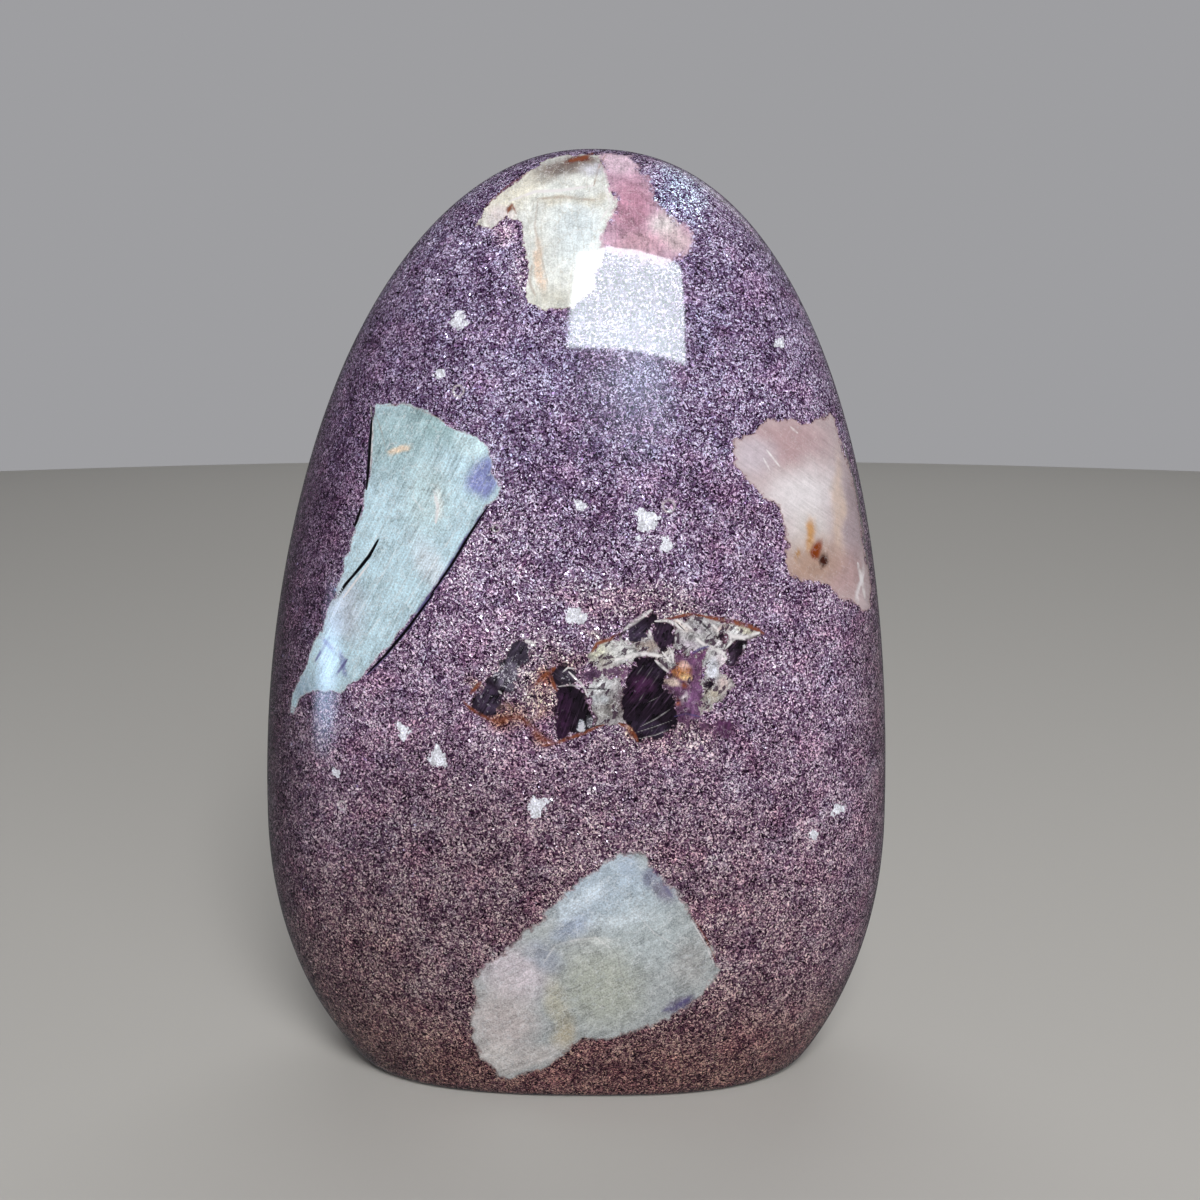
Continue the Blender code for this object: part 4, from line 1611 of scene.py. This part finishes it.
PLUM_COLOURING = Colouring(srgb(102, 68, 99), clouds=(
    Cloud((21, -23.3, 58.3), (2.2, 5, 2.2), srgb(80, 44, 78), 0.95, 0, 0.3),
    Cloud((2, -24.1, 66.4), (2.4, 5, 0.8), srgb(80, 58, 84), 0.9),
    Cloud((5.2, -24, 66.8), (1.8, 5, 0.5), srgb(92, 70, 92), 0.9),
    Cloud((16, -23.2, 72), (1.6, 5, 0.9), srgb(104, 84, 108), 0.9),
    Cloud((18.4, -23, 72.2), (0.8, 5, 1), srgb(120, 78, 94), 0.9, 35),
    Cloud((14.8, -23.4, 68.8), (1, 5, 0.8), srgb(94, 62, 88), 0.9),
    Cloud((17.4, -23.3, 69.2), (1.4, 5, 0.8), srgb(98, 58, 94), 0.9, -30),
    Cloud((16.8, -23.3, 62.6), (1, 5, 2.4), srgb(120, 82, 122), 0.9),
    Cloud((15.2, -23.5, 60.6), (1.4, 5, 0.7), srgb(88, 56, 86), 0.9),
    Cloud((13.4, -23.6, 63.9), (1.2, 5, 0.6), srgb(74, 48, 72), 0.95),
    Cloud((14.9, -23.5, 66.6), (1.3, 3, 0.9), srgb(176, 112, 62), 0.95, 20, 0.35),
    Cloud((15.5, -23.5, 65.9), (0.7, 3, 0.45), srgb(214, 180, 132), 0.95, 0, 0.4),
    Cloud((15.6, -23.5, 67.4), (0.7, 3, 0.35), srgb(206, 170, 160), 0.9, 0, 0.4),
    Cloud((14.4, -23.5, 67.2), (0.35, 3, 0.3), srgb(110, 62, 40), 0.9, 0, 0.4),
    Cloud((13.8, -23.6, 66.1), (0.6, 3, 0.4), srgb(92, 74, 58), 0.9, 0, 0.4),
    Cloud((15.2, -23.5, 65), (0.35, 3, 0.3), srgb(130, 70, 34), 0.9, 0, 0.4),
    Cloud((13.5, -23.7, 65.2), (1.1, 3, 0.45), srgb(212, 192, 180), 0.95, 0, 0.4),
    Cloud((14.4, -23.7, 62.6), (0.4, 3, 0.5), srgb(172, 92, 38), 0.95, 0, 0.4),
    Cloud((15.4, -23.6, 63.2), (0.45, 3, 0.6), srgb(200, 190, 198), 0.9, 0, 0.4),
    Cloud((-15.5, 23.5, 33), (1.6, 5, 3.4), srgb(128, 90, 128), 0.9),
))

PLUM_FINISH = PaleFinish(
    mottle=2.2, fine=0.9, streak=2.0, block=0.4, crack=0.25, crack_colour=srgb(74, 44, 70), vein=0.25,
    vein_colour=srgb(214, 196, 212), sugar=0.4, gritty=True, chips=0.16, chip_colour=srgb(58, 34, 56),
    roughness=0.35,
)

FLECK_FINISH = PaleFinish(
    mottle=1.0, fine=1.4, streak=0.3, block=0.4, crack=0.6, crack_colour=srgb(150, 138, 158), vein=0.0,
    gritty=True,
)

PRISM_COLOURING = Colouring(srgb(26, 15, 28), clouds=(
    Cloud((-7.9, -23.5, 69), (2.2, 5, 2.4), srgb(60, 52, 68), 0.95, -31, 0.3),
    Cloud((-9.4, -23.6, 66.2), (1.8, 5, 1.8), srgb(96, 88, 106), 0.95, -31, 0.35),
    Cloud((-12.4, -23.7, 62.6), (2.2, 5, 2), srgb(58, 46, 66), 0.95, -31, 0.3),
    Cloud((-1.9, -24.2, 60.4), (1.2, 5, 3.6), srgb(48, 24, 50), 0.9, 0, 0.4),
    Cloud((1.2, -24.3, 60.6), (1.2, 5, 2.6), srgb(20, 12, 22), 0.9, 0, 0.4),
    Cloud((-1.4, -24.1, 66.2), (1.4, 5, 1.2), srgb(60, 52, 66), 0.9, 0, 0.4),
    Cloud((0.6, -24.3, 58.9), (0.45, 4, 0.6), srgb(178, 190, 206), 0.95, 0, 0.4),
    Cloud((2, -24.3, 59.4), (0.5, 4, 0.6), srgb(104, 104, 114), 0.8, 0, 0.4),
    Cloud((8.6, -23.4, 72.4), (2.2, 5, 1.4), srgb(52, 42, 60), 0.95, 0, 0.4),
    Cloud((12.5, -23.2, 71.8), (1.4, 5, 1.8), srgb(50, 34, 54), 0.95, 0, 0.4),
    Cloud((9.4, -24, 64.6), (1.6, 5, 1.6), srgb(60, 30, 60), 0.9),
    Cloud((10.6, -24, 67.2), (1.6, 5, 1), srgb(44, 32, 50)),
    Cloud((11, -24.2, 58.6), (2.6, 5, 1.1), srgb(44, 34, 52)),
    Cloud((20.8, -22.8, 71.2), (0.6, 4, 0.6), srgb(116, 76, 98), 0.9, 0, 0.4),
    Cloud((23.9, -22.4, 69.4), (0.3, 4, 0.4), srgb(200, 190, 200), 0.9, 0, 0.4),
    Cloud((22, -22.6, 68.4), (0.6, 4, 0.8), srgb(80, 62, 84), 0.8, 0, 0.4),
    Cloud((-11, 24, 35), (1.8, 5, 3), srgb(58, 32, 60)),
))

COATS = (
    MineralCoat(
        Mineral.CREAM, CREAM_COLOURING, CREAM_FINISH, raggedness=0.45, rim_colour=srgb(160, 118, 110)
    ),
    MineralCoat(Mineral.ROSE, ROSE_COLOURING, ROSE_FINISH, raggedness=1.0, rim_strength=0.1, softness=0.45),
    MineralCoat(
        Mineral.CLAST, CLAST_COLOURING, CLAST_FINISH, raggedness=0.6, rim_colour=srgb(140, 118, 112),
        rim_width=0.3, rim_strength=0.3, softness=0.3,
    ),
    MineralCoat(
        Mineral.QUARTZ, QUARTZ_COLOURING, QUARTZ_FINISH, raggedness=0.5, rim_colour=srgb(170, 138, 132),
        rim_width=0.3, rim_strength=0.45, softness=0.14,
    ),
    MineralCoat(
        Mineral.BLADE, BLADE_COLOURING, BLADE_FINISH, raggedness=0.3, rim_colour=srgb(206, 206, 214),
        rim_width=0.2, rim_strength=0.4,
    ),
    MineralCoat(Mineral.PLUM, PLUM_COLOURING, PLUM_FINISH, raggedness=0.8, rim_strength=0.1, softness=0.16),
    MineralCoat(
        Mineral.GREY_QUARTZ, GREY_QUARTZ_COLOURING, GREY_QUARTZ_FINISH, raggedness=1.0,
        rim_colour=srgb(180, 150, 130), rim_strength=0.2,
    ),
    MineralCoat(
        Mineral.PRISM, PRISM_COLOURING, PrismFinish(), raggedness=0.8, rim_colour=srgb(130, 100, 104),
        rim_strength=0.3, softness=0.12,
    ),
    MineralCoat(
        Mineral.FLECK, Colouring(srgb(228, 230, 240)), FLECK_FINISH, raggedness=0.7, rim_strength=0.0
    ),
)


@dataclass(frozen=True)
class StoneFinish:
    """The whole polished surface: mica with every mineral, stain, fissure and pit laid over it."""

    mica: MicaFinish = MicaFinish()
    coats: tuple[MineralCoat, ...] = COATS
    # Painted shadow: the near black inside the open fissures.
    crack_colour: Colour = srgb(16, 12, 18)
    stains: tuple[tuple[Stain, Colour], ...] = (
        (Stain.RUST, srgb(132, 70, 44)),
        (Stain.PALE, srgb(232, 228, 230)),
        (Stain.DARK, srgb(126, 124, 124)),
        (Stain.OCHRE, srgb(150, 118, 96)),
        (Stain.VIOLET, srgb(84, 76, 128)),
        (Stain.INK, srgb(30, 22, 34)),
    )
    pit_rim_highlight_colour: Colour = srgb(214, 204, 210)
    coat_roughness: float = 0.035
    under_gloss: float = 0.1
    crack_roughness: float = 0.8
    ground_roughness: float = 0.5
    ground_height: float = 0.00003
    polished_height: float = 0.00012

    def material(self) -> bpy.types.Material:
        """Build the stone's material.

        Returns:
            The material, which reads Object coordinates and the mesh's attributes.
        """
        made = bpy.data.materials.new("mica_and_minerals")
        made.use_nodes = True
        graph = Graph(made.node_tree)
        shader = made.node_tree.nodes["Principled BSDF"]
        place = graph.node("TexCoord").outputs["Object"]
        textures = shared_textures(graph, place, self.mica.flake_size)
        edges = edge_group()
        # The mica's colour on the mesh carries painted shade at its sides and foot.
        layer = self.mica.layer(textures, graph.attribute("mica_tint", "Color"))
        for coat in self.coats:
            edge = graph.group(
                edges,
                Vector=place,
                Depth=graph.attribute(coat.mineral.value),
                Raggedness=coat.raggedness,
                Rim_Width=coat.rim_width,
                Softness=coat.softness,
            )
            tint = graph.attribute(coat.mineral.value + "_tint", "Color")
            layer = textures.over(edge.outputs["Mask"], layer, coat.finish.layer(textures, tint))
            if coat.rim_strength > 0.0:
                rim = graph.math("MULTIPLY", edge.outputs["Rim"], coat.rim_strength)
                layer.colour = graph.mix(rim, layer.colour, coat.rim_colour)
        broken = graph.noise(place, 700.0, 2.0, 0.6).outputs[0]
        broken = graph.remap(broken, 0.3, 0.6, 0.25, 0.95)
        for stain, colour in self.stains:
            share = graph.math("MULTIPLY", graph.remap(graph.attribute(stain.value), 0.0, 0.8), broken)
            layer.colour = graph.mix(share, layer.colour, colour)
        # Painted highlight: pale ring on the rim of each pit.
        layer.colour = graph.mix(graph.attribute("pit_rim"), layer.colour, self.pit_rim_highlight_colour)
        # Painted shadow inside the open fissures, near black.
        crack = graph.attribute("fissure")
        layer.colour = graph.mix(graph.remap(crack, 0.0, 0.4), layer.colour, self.crack_colour)
        roughness = graph.mix_values(graph.remap(crack, 0.1, 0.5), layer.roughness, self.crack_roughness)
        height = graph.node("SeparateXYZ", {0: place}).outputs[2]
        foot = graph.remap(height, self.polished_height, self.ground_height)
        roughness = graph.mix_values(foot, roughness, self.ground_roughness)
        polish = graph.math("MULTIPLY", graph.remap(crack, 0.5, 0.1), graph.math("SUBTRACT", 1.0, foot))
        relief = {"Height": textures.flakes.outputs["Height"], "Strength": layer.facets, "Distance": 1.0}
        sockets = {
            "Base Color": layer.colour,
            "Roughness": roughness,
            "Metallic": layer.metallic,
            "Coat Weight": polish,
            "Normal": graph.node("Bump", relief).outputs[0],
            "Coat Roughness": self.coat_roughness,
            "Specular IOR Level": self.under_gloss,
        }
        graph.feed_all(shader, sockets)
        return made


# Stage, light and camera


@dataclass(frozen=True)
class SoftBox:
    """Rectangular soft light that looks at the stone.

    Attributes:
        name: its name.
        azimuth, elevation: where it stands in degrees, from the front towards the right and from level up.
        distance: how far it is from what it looks at.
        size: its width and height.
        radiance: how bright it is.
        colour: its colour.
        spin: how far it is turned about its own axis, in degrees.
        fade: share of its sides over which it fades out.
        mirrored: whether the polish mirrors it.
        lighting: whether it lights what it shines on.
    """

    name: str
    azimuth: float
    elevation: float
    distance: float
    size: Point
    radiance: float
    colour: Colour = (1.0, 1.0, 1.0, 1.0)
    spin: float = 0.0
    fade: float = 0.0
    mirrored: bool = True
    lighting: bool = True

    def soften(self, lamp: bpy.types.AreaLight) -> None:
        """Let the light fade towards its four edges."""
        lamp.use_nodes = True
        graph = Graph(lamp.node_tree)
        place = graph.node("SeparateXYZ", {0: graph.node("NewGeometry").outputs["Parametric"]})
        shares = []
        for along in place.outputs[:2]:
            away = graph.math("ABSOLUTE", graph.math("SUBTRACT", along, 0.5))
            shares.append(graph.remap(away, 0.5, 0.5 - self.fade))
        emission = lamp.node_tree.nodes["Emission"]
        graph.feed(emission.inputs["Strength"], graph.math("MULTIPLY", *shares))

    def build(self, target: Vector) -> None:
        """Place the light.

        Args:
            target: the point that it looks at.
        """
        lamp = bpy.data.lights.new(self.name, "AREA")
        lamp.shape = "RECTANGLE"
        lamp.size, lamp.size_y = self.size
        lamp.energy = self.radiance * math.pi * self.size[0] * self.size[1]
        lamp.color = self.colour[:3]
        if self.fade > 0.0:
            self.soften(lamp)
        around, up = math.radians(self.azimuth), math.radians(self.elevation)
        back = Vector((math.sin(around) * math.cos(up), -math.cos(around) * math.cos(up), math.sin(up)))
        holder = placed(self.name, lamp)
        holder.location = target + back * self.distance
        holder.visible_glossy = self.mirrored
        holder.visible_diffuse = self.lighting
        aim = back.to_track_quat("Z", "Y") @ Quaternion((0.0, 0.0, 1.0), math.radians(self.spin))
        holder.rotation_euler = aim.to_euler()


@dataclass(frozen=True)
class Studio:
    """Plain pale floor, soft lights and the camera at the photograph's viewing angle."""

    floor_radius: float = 1.2
    floor_colour: Colour = srgb(192, 190, 186)
    floor_roughness: float = 0.7
    sky_colour: Colour = srgb(226, 226, 230)
    sky_strength: float = 0.10
    backdrop_strength: float = 0.45
    target: tuple[float, float, float] = (0.0, 0.0, 0.07)
    boxes: tuple[SoftBox, ...] = (
        SoftBox("window", 8.8, 39.8, 1.0, (0.39, 0.35), 18.2, (1.0, 0.99, 0.98, 1.0), -12.0, mirrored=False),
        SoftBox(
            "window_shine", 8.1, 39.8, 0.96, (0.382, 0.332), 15.4, (0.84, 0.96, 1.0, 1.0), -9.0, 0.04,
            lighting=False,
        ),
        SoftBox(
            "window_glow", 6.0, 27.0, 1.0, (0.40, 0.46), 4.8, (0.66, 0.80, 1.0, 1.0), fade=0.5,
            lighting=False,
        ),
        SoftBox("front_fill", 20.0, 22.0, 1.4, (0.9, 0.7), 2.0, mirrored=False),
        SoftBox(
            "low_blue", -66.0, -3.0, 0.42, (0.15, 0.15), 12.0, (0.50, 0.70, 1.0, 1.0), fade=0.5,
            lighting=False,
        ),
        SoftBox("back_fill", 180.0, 46.0, 1.6, (1.6, 1.2), 1.2, mirrored=False),
        SoftBox("back_right", 150.0, 34.0, 1.5, (0.9, 0.9), 0.7, fade=0.5),
    )
    camera_place: tuple[float, float, float] = (0.0036, -0.2207, 0.1116)
    camera_pitch: float = 10.0
    picture_side: float = 1200.0
    focal_pixels: float = 1450.0

    def build_floor(self) -> bpy.types.Object:
        """Wide pale disc under the stone, which the polish does not mirror."""
        bm = bmesh.new()
        bmesh.ops.create_circle(bm, cap_ends=True, segments=96, radius=self.floor_radius)
        mesh = bpy.data.meshes.new("floor")
        bm.to_mesh(mesh)
        bm.free()
        paint = bpy.data.materials.new("floor")
        paint.use_nodes = True
        shader = paint.node_tree.nodes["Principled BSDF"]
        shader.inputs["Base Color"].default_value = self.floor_colour
        shader.inputs["Roughness"].default_value = self.floor_roughness
        mesh.materials.append(paint)
        floor = placed("floor", mesh)
        floor.visible_glossy = False
        return floor

    def build_sky(self) -> None:
        """Even pale light from all round, with a brighter backdrop for the camera."""
        world = bpy.data.worlds.new("studio")
        world.use_nodes = True
        background = world.node_tree.nodes["Background"]
        background.inputs["Color"].default_value = self.sky_colour
        graph = Graph(world.node_tree)
        seen = graph.node("LightPath").outputs["Is Camera Ray"]
        strength = graph.mix_values(seen, self.sky_strength, self.backdrop_strength)
        graph.feed(background.inputs["Strength"], strength)
        bpy.context.scene.world = world

    def build_camera(self) -> None:
        """Camera at the photograph's height, distance and tilt."""
        lens = bpy.data.cameras.new("camera")
        lens.sensor_width = 36.0
        lens.lens = lens.sensor_width * self.focal_pixels / self.picture_side
        lens.clip_start = 0.01
        camera = placed("camera", lens)
        camera.location = self.camera_place
        camera.rotation_euler = (math.radians(90.0 - self.camera_pitch), 0.0, 0.0)
        bpy.context.scene.camera = camera

    def build(self) -> None:
        """Make the stage."""
        self.build_floor()
        self.build_sky()
        self.build_camera()
        for box in self.boxes:
            box.build(Vector(self.target))
        bpy.context.scene.view_settings.view_transform = "Standard"


def main() -> None:
    """Build the stone round the frame, dress it and set the stage."""
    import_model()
    logging.basicConfig(level=logging.INFO, format="%(message)s")
    low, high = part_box(NODE_NAME)
    form = StoneForm(height=high.z - low.z)
    colourings = {coat.mineral.value: coat.colouring for coat in COATS}
    colourings["mica"] = MICA_COLOURING_WITH_PAINTED_SHADE
    body = StoneBody(form, FRONT_PATCHES + BACK_PATCHES, FISSURES, SEAMS, PITS, colourings)
    stone = body.build()
    stone.data.materials.append(StoneFinish().material())
    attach(stone, BODY_NAME)
    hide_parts(NODE_NAME)
    stone.data.calc_loop_triangles()
    LOG.info("%s: %d triangles", stone.name, len(stone.data.loop_triangles))
    Studio().build()
    LOG.info("studio: floor, lights and camera")


if __name__ == "__main__":
    main()
